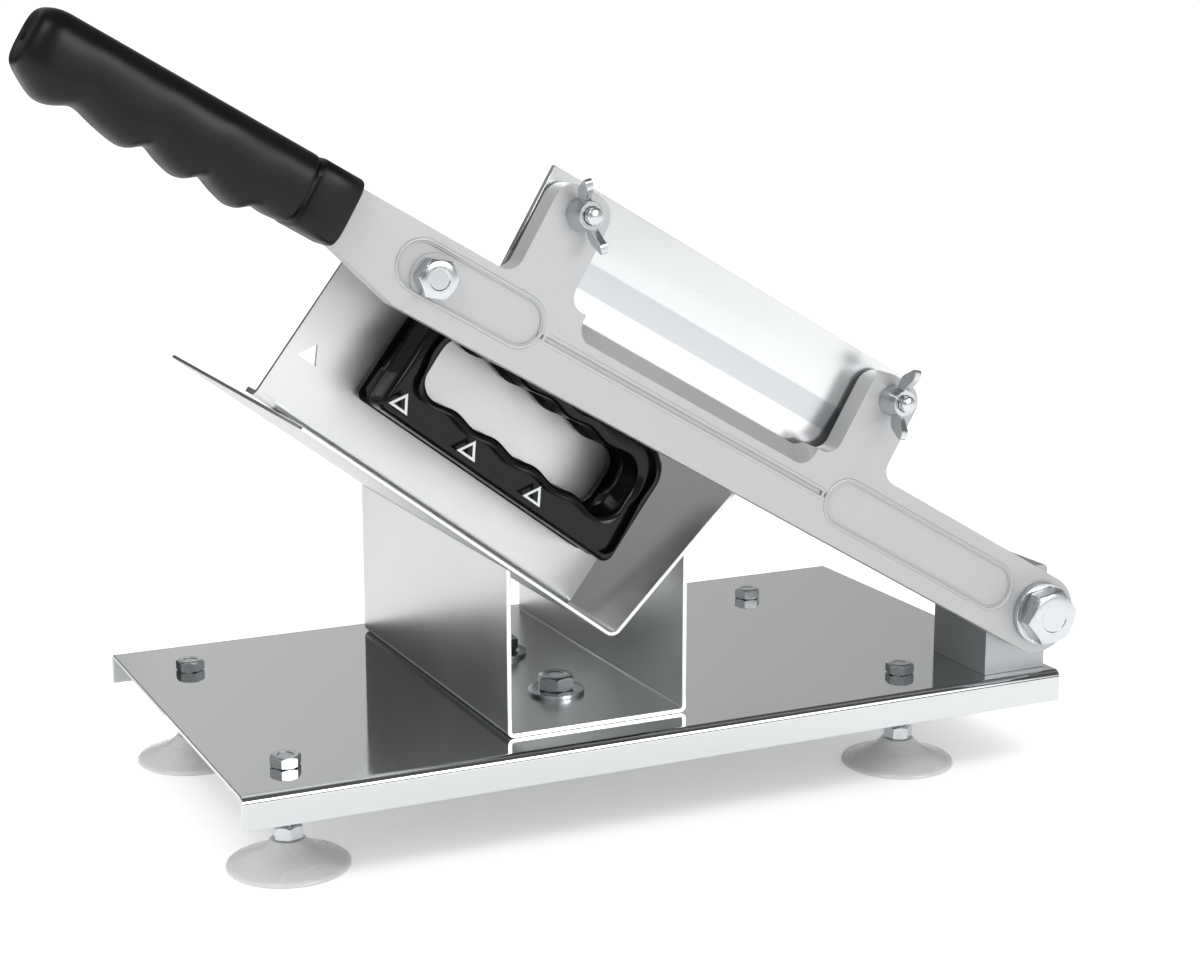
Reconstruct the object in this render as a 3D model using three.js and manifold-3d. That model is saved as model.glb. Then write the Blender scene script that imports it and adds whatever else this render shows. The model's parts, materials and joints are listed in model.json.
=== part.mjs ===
// Frozen-meat slicer worked by a hand lever, in millimetres.
// +Z is up, +X runs right along the base and +Y runs from the lever's side to the back.
import * as THREE from 'three';
import { mergeVertices } from 'three/addons/utils/BufferGeometryUtils.js';
import Module from 'manifold-3d';

const wasm = await Module();
wasm.setup();

// Fits that every piece shares
const play = 0.3; // gap between pieces that rest on each other
const clearance = 0.3; // radial room round a shank
const overrun = 3; // how far a cutter runs past the face that it cuts
const edge = 1; // small corner radius

// Driving dimensions
const base = { length: 340, depth: 187.5, sheet: 1.8, flange: 12.5, bend: 3 };

const foot = {
  fromLeft: 23.5, fromRight: 60, fromFront: 25.5, fromRear: 36,
  cupBottom: -37.5, cupTop: -27, cupRadius: 22.5, neckRadius: 6.6, lip: 1.2, hollow: 6.5, wall: 1.6,
  embed: 5, turn: 17, nutTurn: 23,
};

// Metric fasteners: across flats, head or nut height, shank radius, washer radius and thickness
const m6 = { flats: 10, head: 4.2, nut: 5.2, shank: 3, washer: 6, thick: 1.6 };
const m8 = { flats: 13, head: 5.6, nut: 6.8, shank: 4, washer: 11, thick: 1.6 };
const m12 = { flats: 20, head: 7.6, nut: 10.2, shank: 6, washer: 12.3, thick: 2.4 };

const block = { fromRight: 3, width: 28.5, length: 36.7, height: 43, chamfer: 2, pivotFromRight: 11.8 };
const blockScrews = { fromFront: 9, depth: 18, room: 2 };
const thrustWasher = { radius: 11, thick: 1 };
const pivotTip = 2;

const bracket = { leftOfVertex: 40.3, rightOfVertex: 33.3, front: 17.6, fromRear: 13.8, sheet: 1.8, bend: 2.6 };
const bracketBolts = { fromFront: 39, fromRear: 61.1, tip: 2.5, turn: 12, turnStep: 25 };

const tray = {
  vertexFromPivot: 179.2, vertexZ: 36.3, leftTilt: 37, rightTilt: 45, leftWidth: 146, rightWidth: 80,
  sheet: 1.5, bend: 3, fromRear: 7.4, behindBlade: 0.9,
};

const arm = {
  pivotZ: 27.3, restTilt: 30.33, front: -4, thickness: 10,
  endRadius: 16.3, lowEdge: 16.3, rightTop: 15.2, leftTop: 12.8, lowEdgeEnd: 301, collarAt: 331.5, collarLow: 8.6,
  fillet: 6,
};
const posts = { right: 107.5, spacing: 148.5, width: 23, top: 51, crown: 8, bolt: 42.5 };
const opening = { sill: 13, chuteLow: 4.5, chuteInset: 8, chuteSlope: 32, chuteCorner: 6 };
const pockets = {
  depth: 0.9, leftFrom: 250, leftTo: 307, rightFrom: 18, rightTo: 113, high: 7.9, low: 8, groove: 1.6, grooveAt: -1,
};
const pocketBolt = { along: 293.4, up: -1.5, boss: 8.4, turn: 20 };
const pivotTurn = 8;
const tang = { length: 86, height: 13, thickness: 6, up: 1.5 };

const grip = {
  end: 446.5, top: 15, low: 9.8, wave: 3.6, firstBump: 366, pitch: 20, endPitch: 28, bumps: 4, halfWidth: 14,
  collar: 15.5, grooveWidth: 1.4, grooveDepth: 0.9, nose: 9, hangHole: 1.8, hangDepth: 6,
};

const blade = { thickness: 3, top: 54, edgeAt: 3, bevelAt: 31, midAt: 21, midCut: 0.9, land: 0.3 };
const bladeHead = { radius: 5.2, depth: 2.3 };

const wing = { hubRadius: 6, hubTop: 4.8, hubHeight: 8.5, span: 28, thickness: 2.6, rise: 12.5, lobe: 4.2, tip: 3 };
const wingTurn = { left: 45.8, right: 73 };

const pusher = {
  fromBlade: 33.8, width: 150, height: 70, sheet: 2, lip: 11, bend: 3, corner: 5, fromVertex: 5,
};
const teeth = { base: 8, height: 7, sheet: 1.4, reach: 7, lowRow: 19.5, fromTop: 2.5, fromEnd: 9, count: 5 };
const handle = {
  fromLeft: 30, fromRight: 10, up: 20, fromTop: 3, half: 13.85, leg: 9, topBar: 9.5, lowBar: 13, ripple: 1.6, ripples: 4,
  cornerRadius: 13, innerRadius: 8, footCorner: 3,
};
const handleScrews = { up: 9, inset: 7.5, radius: 2, head: 3.8, headHeight: 2.4, bite: 9 };

// Places that follow from them
const armBack = arm.front + arm.thickness;
const bladeFront = armBack + play + m6.thick + play;
const bladeBack = bladeFront + blade.thickness;
const trayFront = bladeBack + tray.behindBlade;
const blockFront = armBack + play + thrustWasher.thick;
const blockBack = blockFront + block.length;
const blockRight = base.length - block.fromRight;
const blockLeft = blockRight - block.width;
const blockMidX = (blockLeft + blockRight) / 2;
const pivotX = blockRight - block.pivotFromRight;
const vertexX = pivotX - tray.vertexFromPivot;
const bracketLeft = vertexX - bracket.leftOfVertex;
const bracketRight = vertexX + bracket.rightOfVertex;
const bracketMidX = (bracketLeft + bracketRight) / 2;
const bracketRear = base.depth - bracket.fromRear;
const radians = THREE.MathUtils.degToRad;

// Steps of round shapes
const sides = { round: 20, small: 12, bevel: 18, arc: 4, fold: 5, outline: 6, bore: 7, ring: 10, wave: 6 };

// Solids
function solid(geometry) {
  const bare = geometry.clone();
  bare.deleteAttribute('normal');
  bare.deleteAttribute('uv');
  const merged = mergeVertices(bare);
  return new wasm.Manifold(new wasm.Mesh({
    numProp: 3,
    vertProperties: new Float32Array(merged.attributes.position.array),
    triVerts: new Uint32Array(merged.index.array),
  }));
}

function geometryOf(manifold) {
  const mesh = manifold.getMesh();
  const geometry = new THREE.BufferGeometry();
  geometry.setAttribute('position', new THREE.BufferAttribute(new Float32Array(mesh.vertProperties), 3));
  geometry.setIndex(new THREE.BufferAttribute(new Uint32Array(mesh.triVerts), 1));
  geometry.computeVertexNormals();
  return geometry;
}

function carve(body, cutters) {
  return geometryOf(cutters.reduce((rest, cutter) => rest.subtract(solid(cutter)), solid(body)));
}

function fuse(pieces) {
  return geometryOf(pieces.map(solid).reduce((whole, piece) => whole.add(piece)));
}

// Outline through corners [x, y, radius], listed counterclockwise
function outline(corners, Kind = THREE.Shape) {
  const shape = new Kind();
  const halfShare = 0.49;
  corners.forEach(([x, y, radius], i) => {
    const corner = new THREE.Vector2(x, y);
    const [beforeX, beforeY] = corners[(i + corners.length - 1) % corners.length];
    const [afterX, afterY] = corners[(i + 1) % corners.length];
    const back = new THREE.Vector2(beforeX, beforeY).sub(corner);
    const on = new THREE.Vector2(afterX, afterY).sub(corner);
    const room = halfShare * Math.min(back.length(), on.length());
    back.normalize();
    on.normalize();
    const half = Math.acos(THREE.MathUtils.clamp(back.dot(on), -1, 1)) / 2;
    const reach = Math.min(radius / Math.tan(half), room);
    if (reach <= 0) {
      if (i === 0) shape.moveTo(x, y);
      else shape.lineTo(x, y);
      return;
    }
    const turn = reach * Math.tan(half);
    const centre = back.clone().add(on).normalize().multiplyScalar(turn / Math.sin(half)).add(corner);
    const start = back.clone().multiplyScalar(reach).add(corner);
    const end = on.clone().multiplyScalar(reach).add(corner);
    const from = Math.atan2(start.y - centre.y, start.x - centre.x);
    const to = Math.atan2(end.y - centre.y, end.x - centre.x);
    if (i === 0) shape.moveTo(start.x, start.y);
    else shape.lineTo(start.x, start.y);
    shape.absarc(centre.x, centre.y, turn, from, to, back.cross(on) > 0);
  });
  shape.closePath();
  return shape;
}

function circle(x, y, radius, Kind = THREE.Path) {
  const path = new Kind();
  path.absarc(x, y, radius, 0, 2 * Math.PI, Kind === THREE.Path);
  return path;
}

// Extrusions of a shape between two planes
const frames = {
  x: new THREE.Matrix4().makeBasis(
    new THREE.Vector3(0, 1, 0), new THREE.Vector3(0, 0, 1), new THREE.Vector3(1, 0, 0)),
  y: new THREE.Matrix4().makeBasis(
    new THREE.Vector3(1, 0, 0), new THREE.Vector3(0, 0, 1), new THREE.Vector3(0, -1, 0)),
  z: new THREE.Matrix4(),
};

function extrude(shape, axis, from, to, steps = sides.arc) {
  const low = Math.min(from, to);
  const high = Math.max(from, to);
  const geometry = new THREE.ExtrudeGeometry(shape, {
    depth: high - low, bevelEnabled: false, curveSegments: steps,
  });
  geometry.applyMatrix4(frames[axis]);
  if (axis === 'x') return geometry.translate(low, 0, 0);
  if (axis === 'y') return geometry.translate(0, high, 0);
  return geometry.translate(0, 0, low);
}

// A round rod along its own Z
function rod(radius, from, to, count = sides.small) {
  const geometry = new THREE.CylinderGeometry(radius, radius, to - from, count);
  geometry.rotateX(Math.PI / 2);
  return geometry.translate(0, 0, (from + to) / 2);
}

function cone(lowRadius, highRadius, from, to, count = sides.small) {
  const geometry = new THREE.CylinderGeometry(highRadius, lowRadius, to - from, count);
  geometry.rotateX(Math.PI / 2);
  return geometry.translate(0, 0, (from + to) / 2);
}

function lathe(points, count = sides.round) {
  const profile = points.map(([radius, up]) => new THREE.Vector2(radius, up));
  return new THREE.LatheGeometry(profile, count).rotateX(Math.PI / 2);
}

// The rods that turn their Z toward the viewer's side
function towardFront(geometry) {
  return geometry.rotateX(Math.PI / 2);
}

// A hexagon with its points rounded off where the bevel of a head or nut cuts them
function hexBody(size, height, bevelLow, bevelHigh) {
  const across = size.flats / Math.sqrt(3);
  const hexagon = new THREE.Shape();
  for (let i = 0; i < 6; i++) {
    const angle = i * Math.PI / 3;
    const point = [across * Math.cos(angle), across * Math.sin(angle)];
    if (i === 0) hexagon.moveTo(...point);
    else hexagon.lineTo(...point);
  }
  hexagon.closePath();
  const bevelShare = 0.95;
  const slopeShare = 0.5;
  const face = bevelShare * size.flats / 2;
  const full = across + edge;
  const rise = slopeShare * (full - face);
  const profile = [[0, 0]];
  if (bevelLow) profile.push([face, 0], [full, rise]);
  else profile.push([full, 0]);
  if (bevelHigh) profile.push([full, height - rise], [face, height]);
  else profile.push([full, height]);
  profile.push([0, height]);
  return solid(extrude(hexagon, 'z', 0, height)).intersect(solid(lathe(profile, sides.bevel)));
}

function nutOf(size) {
  const bore = size.shank + clearance;
  return geometryOf(hexBody(size, size.nut, true, true).subtract(solid(rod(bore, -overrun, size.nut + overrun))));
}

// A hex bolt whose head stands on local z 0 and whose shank runs down
function hexBolt(size, shankLength) {
  return geometryOf(hexBody(size, size.head, false, true).add(solid(rod(size.shank, -shankLength, size.head / 2))));
}

function washerOf(radius, bore, thick) {
  const ring = circle(0, 0, radius, THREE.Shape);
  ring.holes.push(circle(0, 0, bore));
  return extrude(ring, 'z', 0, thick, sides.ring);
}

// Materials
const finishes = {
  mirrorSteel: { color: 0xc9cccd, roughness: 0.08, metalness: 1 },
  brushedSteel: { color: 0xc4c6c8, roughness: 0.28, metalness: 1 },
  bladeSteel: { color: 0xd8dadc, roughness: 0.18, metalness: 1 },
  zinc: { color: 0xb9bcbf, roughness: 0.32, metalness: 1 },
  castAluminium: { color: 0xc6c8ca, roughness: 0.42, metalness: 0.55 },
  blockAluminium: { color: 0xa9acae, roughness: 0.4, metalness: 0.7 },
  blackPlastic: { color: 0x161616, roughness: 0.38, metalness: 0 },
  clearRubber: { color: 0xdcdfe0, roughness: 0.3, metalness: 0 },
};

function piece(parent, name, geometry, finish) {
  const mesh = new THREE.Mesh(geometry, new THREE.MeshStandardMaterial(finishes[finish]));
  mesh.name = name;
  parent.add(mesh);
  return mesh;
}

function groupAt(parent, x, y, z) {
  const child = new THREE.Group();
  child.position.set(x, y, z);
  parent.add(child);
  return child;
}

const group = new THREE.Group();

// Base plate
const footX = [foot.fromLeft, base.length - foot.fromRight];
const footY = [foot.fromFront, base.depth - foot.fromRear];
const bracketBoltY = [bracket.front + bracketBolts.fromFront, bracketRear - bracketBolts.fromRear];
const blockScrewY = [blockFront + blockScrews.fromFront, blockBack - blockScrews.fromFront];

function basePlate() {
  const { depth, flange, sheet, bend } = base;
  const inner = Math.max(bend - sheet, 0);
  const profile = outline([
    [0, -flange, 0], [sheet, -flange, 0], [sheet, -sheet, inner], [depth - sheet, -sheet, inner],
    [depth - sheet, -flange, 0], [depth, -flange, 0], [depth, 0, bend], [0, 0, bend],
  ]);
  const hole = (radius, x, y) => rod(radius + clearance, -sheet - overrun, overrun).translate(x, y, 0);
  const cutters = footX.flatMap((x) => footY.map((y) => hole(m6.shank, x, y)));
  bracketBoltY.forEach((y) => cutters.push(hole(m8.shank, bracketMidX, y)));
  blockScrewY.forEach((y) => cutters.push(hole(m6.shank, blockMidX, y)));
  return carve(extrude(profile, 'x', 0, base.length), cutters);
}
piece(group, 'base_plate', basePlate(), 'mirrorSteel');

// Feet
function suctionCup() {
  const { cupBottom, cupTop, cupRadius, neckRadius, lip, hollow, wall, embed } = foot;
  const dome = cupBottom + hollow;
  const skirtShare = 0.62;
  const shoulderShare = 0.36;
  const flareShare = 0.72;
  const stud = m6.shank + clearance;
  const drop = cupTop - cupBottom;
  return lathe([
    [0, dome],
    [neckRadius, dome],
    [skirtShare * cupRadius, cupBottom + hollow * skirtShare],
    [cupRadius - wall, cupBottom],
    [cupRadius - lip / 2, cupBottom],
    [cupRadius, cupBottom + lip],
    [flareShare * cupRadius, cupBottom + shoulderShare * drop],
    [(neckRadius + flareShare * cupRadius) / 2, cupBottom + skirtShare * drop],
    [neckRadius + edge, cupTop - wall],
    [neckRadius, cupTop],
    [stud, cupTop],
    [stud, cupTop - embed],
    [0, cupTop - embed],
  ]);
}

const sideNames = ['left', 'right'];
const depthNames = ['front', 'rear'];
footX.forEach((x, i) => footY.forEach((y, j) => {
  const place = groupAt(group, x, y, 0);
  const label = `${depthNames[j]}_${sideNames[i]}`;
  const shank = foot.embed - play - foot.cupTop;
  const footTurn = (i + 2 * j) * foot.turn;
  piece(place, `suction_cup_${label}`, suctionCup(), 'clearRubber');
  const bolt = piece(place, `foot_bolt_${label}`, hexBolt(m6, shank), 'zinc');
  const cupNut = piece(place, `cup_nut_${label}`, nutOf(m6), 'zinc');
  cupNut.position.z = foot.cupTop;
  const plateNut = piece(place, `plate_nut_${label}`, nutOf(m6), 'zinc');
  plateNut.position.z = -base.sheet - m6.nut;
  [bolt, cupNut, plateNut].forEach((hexagon, k) => {
    hexagon.rotation.z = radians(footTurn + k * foot.nutTurn);
  });
}));

// Bracket
const leftTilt = radians(tray.leftTilt);
const rightTilt = radians(tray.rightTilt);

// Height of the trough's underside over a place along X
function troughUnder(x) {
  const tilt = x < vertexX ? leftTilt : rightTilt;
  return tray.vertexZ + Math.abs(vertexX - x) * Math.tan(tilt) - tray.sheet / Math.cos(tilt);
}

function bracketBody() {
  const { sheet, bend, front } = bracket;
  const [left, right] = [bracketLeft, bracketRight];
  const inner = Math.max(bend - sheet, 0);
  const top = (x) => troughUnder(x) - play;
  const profile = outline([
    [left, 0, bend], [right, 0, bend], [right, top(right), 0], [right - sheet, top(right - sheet), 0],
    [right - sheet, sheet, inner], [left + sheet, sheet, inner], [left + sheet, top(left + sheet), 0],
    [left, top(left), 0],
  ]);
  const cutters = bracketBoltY.map((y) => {
    return rod(m8.shank + clearance, -overrun, sheet + overrun).translate(bracketMidX, y, 0);
  });
  return carve(extrude(profile, 'y', front, bracketRear), cutters);
}
piece(group, 'bracket', bracketBody(), 'mirrorSteel');

bracketBoltY.forEach((y, i) => {
  const place = groupAt(group, bracketMidX, y, bracket.sheet);
  const grip8 = bracket.sheet + base.sheet;
  piece(place, `bracket_washer_${depthNames[i]}`, washerOf(m8.washer, m8.shank + clearance, m8.thick), 'zinc');
  const shank = m8.thick + grip8 + m8.nut + bracketBolts.tip;
  const bolt = piece(place, `bracket_bolt_${depthNames[i]}`, hexBolt(m8, shank), 'zinc');
  bolt.position.z = m8.thick;
  bolt.rotation.z = radians(bracketBolts.turn + bracketBolts.turnStep * i);
  const nut = piece(place, `bracket_nut_${depthNames[i]}`, nutOf(m8), 'zinc');
  nut.position.z = -grip8 - m8.nut;
});

// Tray
function trayBody() {
  const { vertexZ, leftWidth, rightWidth, sheet, bend } = tray;
  // A point up a wall, side -1 or 1, and down through its sheet
  const point = (side, tilt, reach, down) => [
    vertexX + side * (reach * Math.cos(tilt) + down * Math.sin(tilt)),
    vertexZ + reach * Math.sin(tilt) - down * Math.cos(tilt),
  ];
  // The two undersides meet below the vertex, on the line that halves the trough's angle
  const halfAngle = (Math.PI - leftTilt - rightTilt) / 2;
  const lean = (leftTilt - rightTilt) / 2;
  const under = sheet / Math.sin(halfAngle);
  const lowPoint = [vertexX - under * Math.sin(lean), vertexZ - under * Math.cos(lean)];
  const profile = outline([
    [...lowPoint, bend + sheet],
    [...point(1, rightTilt, rightWidth, sheet), 0], [...point(1, rightTilt, rightWidth, 0), 0],
    [vertexX, vertexZ, bend],
    [...point(-1, leftTilt, leftWidth, 0), 0], [...point(-1, leftTilt, leftWidth, sheet), 0],
  ]);
  return extrude(profile, 'y', trayFront, base.depth - tray.fromRear, sides.fold);
}
piece(group, 'tray', trayBody(), 'mirrorSteel');

// Pivot block and what holds the arm to it
function pivotBlock() {
  const { height, chamfer } = block;
  const side = outline([
    [blockLeft, 0, 0], [blockRight, 0, 0], [blockRight, height, chamfer], [blockLeft, height, chamfer],
  ]);
  const cutters = blockScrewY.map((y) => {
    return rod(m6.shank + clearance, -overrun, blockScrews.depth + blockScrews.room).translate(blockMidX, y, 0);
  });
  const bore = extrude(circle(pivotX, arm.pivotZ, m12.shank + clearance, THREE.Shape), 'y',
    blockFront - overrun, blockBack + overrun, sides.bore);
  return carve(extrude(side, 'y', blockFront, blockBack), [...cutters, bore]);
}
piece(group, 'pivot_block', pivotBlock(), 'blockAluminium');

blockScrewY.forEach((y, i) => {
  const place = groupAt(group, blockMidX, y, -base.sheet);
  const shank = hexBolt(m6, base.sheet + blockScrews.depth).rotateX(Math.PI);
  piece(place, `block_screw_${depthNames[i]}`, shank, 'zinc');
});

// Local z 0 lies on the axis at Y 0 and local +Z points to the front
const pivotAxis = groupAt(group, pivotX, 0, arm.pivotZ);
pivotAxis.rotation.x = Math.PI / 2;
const pivotBore = m12.shank + clearance;
const frontWasherAt = -arm.front + play;
const pivotHeadAt = frontWasherAt + m12.thick;
const frontWasher = piece(pivotAxis, 'pivot_washer_front', washerOf(m12.washer, pivotBore, m12.thick), 'zinc');
frontWasher.position.z = frontWasherAt;
const thrust = piece(pivotAxis, 'thrust_washer', washerOf(thrustWasher.radius, pivotBore, thrustWasher.thick), 'zinc');
thrust.position.z = -blockFront;
const rearWasher = piece(pivotAxis, 'pivot_washer_rear', washerOf(m12.washer, pivotBore, m12.thick), 'zinc');
rearWasher.position.z = -blockBack - m12.thick;
const pivotNut = piece(pivotAxis, 'pivot_nut', nutOf(m12), 'zinc');
pivotNut.position.z = rearWasher.position.z - m12.nut;
const pivotShank = pivotHeadAt - pivotNut.position.z + pivotTip;
const pivotBolt = piece(pivotAxis, 'pivot_bolt', hexBolt(m12, pivotShank), 'zinc');
pivotBolt.position.z = pivotHeadAt;
pivotBolt.rotation.z = radians(pivotTurn);

// The arm and everything that swings with it: local -X runs from the pivot to the grip, local +Z is up the arm
const lever = groupAt(group, pivotX, 0, arm.pivotZ);
lever.rotation.y = radians(arm.restTilt);
const postAt = [posts.right, posts.right + posts.spacing];
const postHalf = posts.width / 2;

function armBody() {
  const { endRadius, lowEdge, rightTop, leftTop, lowEdgeEnd, collarAt, collarLow, fillet } = arm;
  const [rightPost, leftPost] = postAt;
  const tangEnd = collarAt + tang.length;
  const corners = [
    [endRadius, -lowEdge, endRadius],
    [endRadius, rightTop, rightTop],
    [-rightPost + postHalf, rightTop, fillet],
    [-rightPost + postHalf, posts.top, posts.crown],
    [-rightPost - postHalf, posts.top, posts.crown],
    [-rightPost - postHalf, opening.sill, fillet],
    [-leftPost + postHalf, opening.sill, fillet],
    [-leftPost + postHalf, posts.top, posts.crown],
    [-leftPost - postHalf, posts.top, posts.crown],
    [-leftPost - postHalf, leftTop, fillet],
    [-collarAt, leftTop, 0],
    [-collarAt, -collarLow, 0],
    [-lowEdgeEnd, -lowEdge, fillet],
  ];
  const plate = extrude(outline(corners), 'y', arm.front, armBack, sides.outline);

  // The tang is thinner than the arm and runs on into the grip
  const mid = (arm.front + armBack) / 2;
  const tangShape = outline([
    [-tangEnd, tang.up - tang.height / 2, edge], [-collarAt + overrun, tang.up - tang.height / 2, 0],
    [-collarAt + overrun, tang.up + tang.height / 2, 0], [-tangEnd, tang.up + tang.height / 2, edge],
  ]);
  const tangBody = extrude(tangShape, 'y', mid - tang.thickness / 2, mid + tang.thickness / 2);

  const bores = [[0, 0, m12], [-rightPost, posts.bolt, m6], [-leftPost, posts.bolt, m6],
    [-pocketBolt.along, pocketBolt.up, m8]].map(([x, z, size]) => {
    return extrude(circle(x, z, size.shank + clearance, THREE.Shape), 'y',
      arm.front - overrun, armBack + overrun, sides.bore);
  });

  const pocketFloor = arm.front + pockets.depth;
  const slot = (from, to) => {
    const high = pockets.high;
    const low = -pockets.low;
    const round = (high - low) / 2;
    return extrude(outline([[-to, low, round], [-from, low, round], [-from, high, round], [-to, high, round]]),
      'y', arm.front - overrun, pocketFloor, sides.outline);
  };
  const grooveHalf = pockets.groove / 2;
  const groove = extrude(outline([
    [-pockets.leftFrom - grooveHalf, pockets.grooveAt - grooveHalf, 0],
    [-pockets.rightTo + grooveHalf, pockets.grooveAt - grooveHalf, 0],
    [-pockets.rightTo + grooveHalf, pockets.grooveAt + grooveHalf, 0],
    [-pockets.leftFrom - grooveHalf, pockets.grooveAt + grooveHalf, 0],
  ]), 'y', arm.front - overrun, pocketFloor);

  // The chute's floor rises to the back, up to the window's sill
  const chuteRight = -(rightPost + postHalf + opening.chuteInset);
  const chuteLeft = -(leftPost - postHalf - opening.chuteInset);
  const chuteHeight = opening.sill - opening.chuteLow + overrun;
  const chute = extrude(outline([
    [chuteLeft, 0, opening.chuteCorner], [chuteRight, 0, opening.chuteCorner],
    [chuteRight, chuteHeight, 0], [chuteLeft, chuteHeight, 0],
  ]), 'y', -arm.thickness - overrun, arm.thickness + overrun);
  chute.rotateX(radians(opening.chuteSlope));
  chute.translate(0, arm.front, opening.chuteLow);

  // A round boss in the left pocket carries the bolt's head
  const boss = extrude(circle(-pocketBolt.along, pocketBolt.up, pocketBolt.boss, THREE.Shape), 'y',
    arm.front - 2 * overrun, armBack, sides.ring);
  const leftPocket = carve(slot(pockets.leftFrom, pockets.leftTo), [boss]);
  return carve(fuse([plate, tangBody]), [...bores, leftPocket,
    slot(pockets.rightFrom, pockets.rightTo), groove, chute]);
}
piece(lever, 'arm', armBody(), 'castAluminium');

const pocketPlace = groupAt(lever, -pocketBolt.along, 0, pocketBolt.up);
pocketPlace.rotation.x = Math.PI / 2;
const pocketHex = piece(pocketPlace, 'pocket_bolt', hexBolt(m8, arm.thickness), 'zinc');
pocketHex.position.z = -arm.front + play;
pocketHex.rotation.z = radians(pocketBolt.turn);

// Grip: rings of a rounded section along the lever, waved underneath for the fingers
function gripBody() {
  const { end, top, low, wave, halfWidth, collar, grooveWidth, grooveDepth, nose } = grip;
  const start = arm.collarAt + play;
  const grooveFrom = arm.collarAt + collar;
  const grooveTo = grooveFrom + grooveWidth;
  const softShare = 0.2;
  const soft = softShare * grooveWidth;
  const lastButOne = grip.bumps - 2;
  const endBay = grip.firstBump + lastButOne * grip.pitch;
  const bodySteps = 30;
  const noseSteps = 6;
  const stations = [[start, 0], [grooveFrom - soft, 0], [grooveFrom, grooveDepth], [grooveTo, grooveDepth],
    [grooveTo + soft, 0]];
  const bodyFrom = grooveTo + 2 * soft;
  const bodyTo = end - nose;
  for (let i = 1; i <= bodySteps; i++) {
    stations.push([THREE.MathUtils.lerp(bodyFrom, bodyTo, i / bodySteps), 0]);
  }
  const rings = stations.map(([at, inset]) => ({ at, inset, shrink: 1 }));
  const noseShare = 0.62;
  for (let i = 1; i <= noseSteps; i++) {
    const turn = (i / noseSteps) * Math.PI / 2;
    rings.push({ at: bodyTo + nose * Math.sin(turn), inset: 0, shrink: noseShare + (1 - noseShare) * Math.cos(turn) });
  }
  const underside = (at) => {
    if (at < grooveTo) return -low;
    const phase = at < endBay ? (at - grip.firstBump) / grip.pitch : lastButOne + (at - endBay) / grip.endPitch;
    const fadeIn = THREE.MathUtils.smoothstep(at, grooveTo, grip.firstBump);
    const fadeOut = 1 - THREE.MathUtils.smoothstep(at, endBay + grip.endPitch, end);
    const angle = 2 * Math.PI * phase;
    const leanShare = 0.4;
    return -low - wave * fadeIn * fadeOut * (1 + Math.cos(angle - leanShare * (1 - Math.cos(angle)))) / 2;
  };
  const around = 28;
  const bodyPower = 2 / 3;
  const collarPower = 2 / 5;
  const positions = [];
  rings.forEach(({ at, inset, shrink }) => {
    const bottom = underside(at) + inset;
    const height = (top - inset - bottom) / 2;
    const middle = (top - inset + bottom) / 2;
    const width = halfWidth - inset;
    const power = at > grooveTo ? bodyPower : collarPower;
    for (let k = 0; k < around; k++) {
      const angle = (k / around) * 2 * Math.PI;
      const c = Math.cos(angle);
      const s = Math.sin(angle);
      positions.push(-at, width * shrink * Math.sign(c) * Math.abs(c) ** power,
        middle + height * shrink * Math.sign(s) * Math.abs(s) ** power);
    }
  });
  const index = [];
  const last = (rings.length - 1) * around;
  for (let r = 0; r < rings.length - 1; r++) {
    for (let k = 0; k < around; k++) {
      const a = r * around + k;
      const b = r * around + (k + 1) % around;
      index.push(a, a + around, b, b, a + around, b + around);
    }
  }
  for (let k = 1; k < around - 1; k++) {
    index.push(0, k, k + 1);
    index.push(last, last + k + 1, last + k);
  }
  const body = new THREE.BufferGeometry();
  body.setAttribute('position', new THREE.Float32BufferAttribute(positions, 3));
  body.setIndex(index);

  const mid = (arm.front + armBack) / 2;
  body.translate(0, mid, 0);
  const slotHalf = tang.height / 2 + play;
  const slotSide = tang.thickness / 2 + play;
  const slotShape = outline([
    [-arm.collarAt - tang.length - 2 * play, tang.up - slotHalf, 0], [-arm.collarAt + overrun, tang.up - slotHalf, 0],
    [-arm.collarAt + overrun, tang.up + slotHalf, 0], [-arm.collarAt - tang.length - 2 * play, tang.up + slotHalf, 0],
  ]);
  const slot = extrude(slotShape, 'y', mid - slotSide, mid + slotSide);
  const hole = rod(grip.hangHole, -grip.hangDepth, overrun).rotateY(-Math.PI / 2);
  hole.translate(-end, mid, (top - low) / 2);
  return carve(body, [slot, hole]);
}
piece(lever, 'grip', gripBody(), 'blackPlastic');

// Blade
function bladeBody() {
  const { top, edgeAt, bevelAt, midAt, midCut, land } = blade;
  const section = outline([
    [bladeBack - land, edgeAt, 0], [bladeBack, edgeAt, 0], [bladeBack, top, 0], [bladeFront, top, 0],
    [bladeFront, bevelAt, 0], [bladeFront + midCut, midAt, 0],
  ]);
  const [rightPost, leftPost] = postAt;
  const body = extrude(section, 'x', -leftPost - postHalf, -rightPost + postHalf);
  const cutters = postAt.flatMap((at) => {
    const bore = rod(m6.shank + clearance, -bladeBack - overrun, -bladeFront + overrun);
    const seat = cone(bladeHead.radius + play, m6.shank + clearance, -bladeBack, -bladeBack + bladeHead.depth + play);
    return [bore, seat].map((cutter) => towardFront(cutter).translate(-at, 0, posts.bolt));
  });
  return carve(body, cutters);
}
piece(lever, 'blade', bladeBody(), 'bladeSteel');

// Blade bolts with their spacer washers and wing nuts
function bladeBolt() {
  const tipAt = -arm.front + play + wing.hubHeight + wing.tip;
  const headAt = -bladeBack;
  return fuse([
    cone(bladeHead.radius, m6.shank, headAt, headAt + bladeHead.depth),
    rod(m6.shank, headAt + bladeHead.depth / 2, tipAt),
  ]);
}

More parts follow.
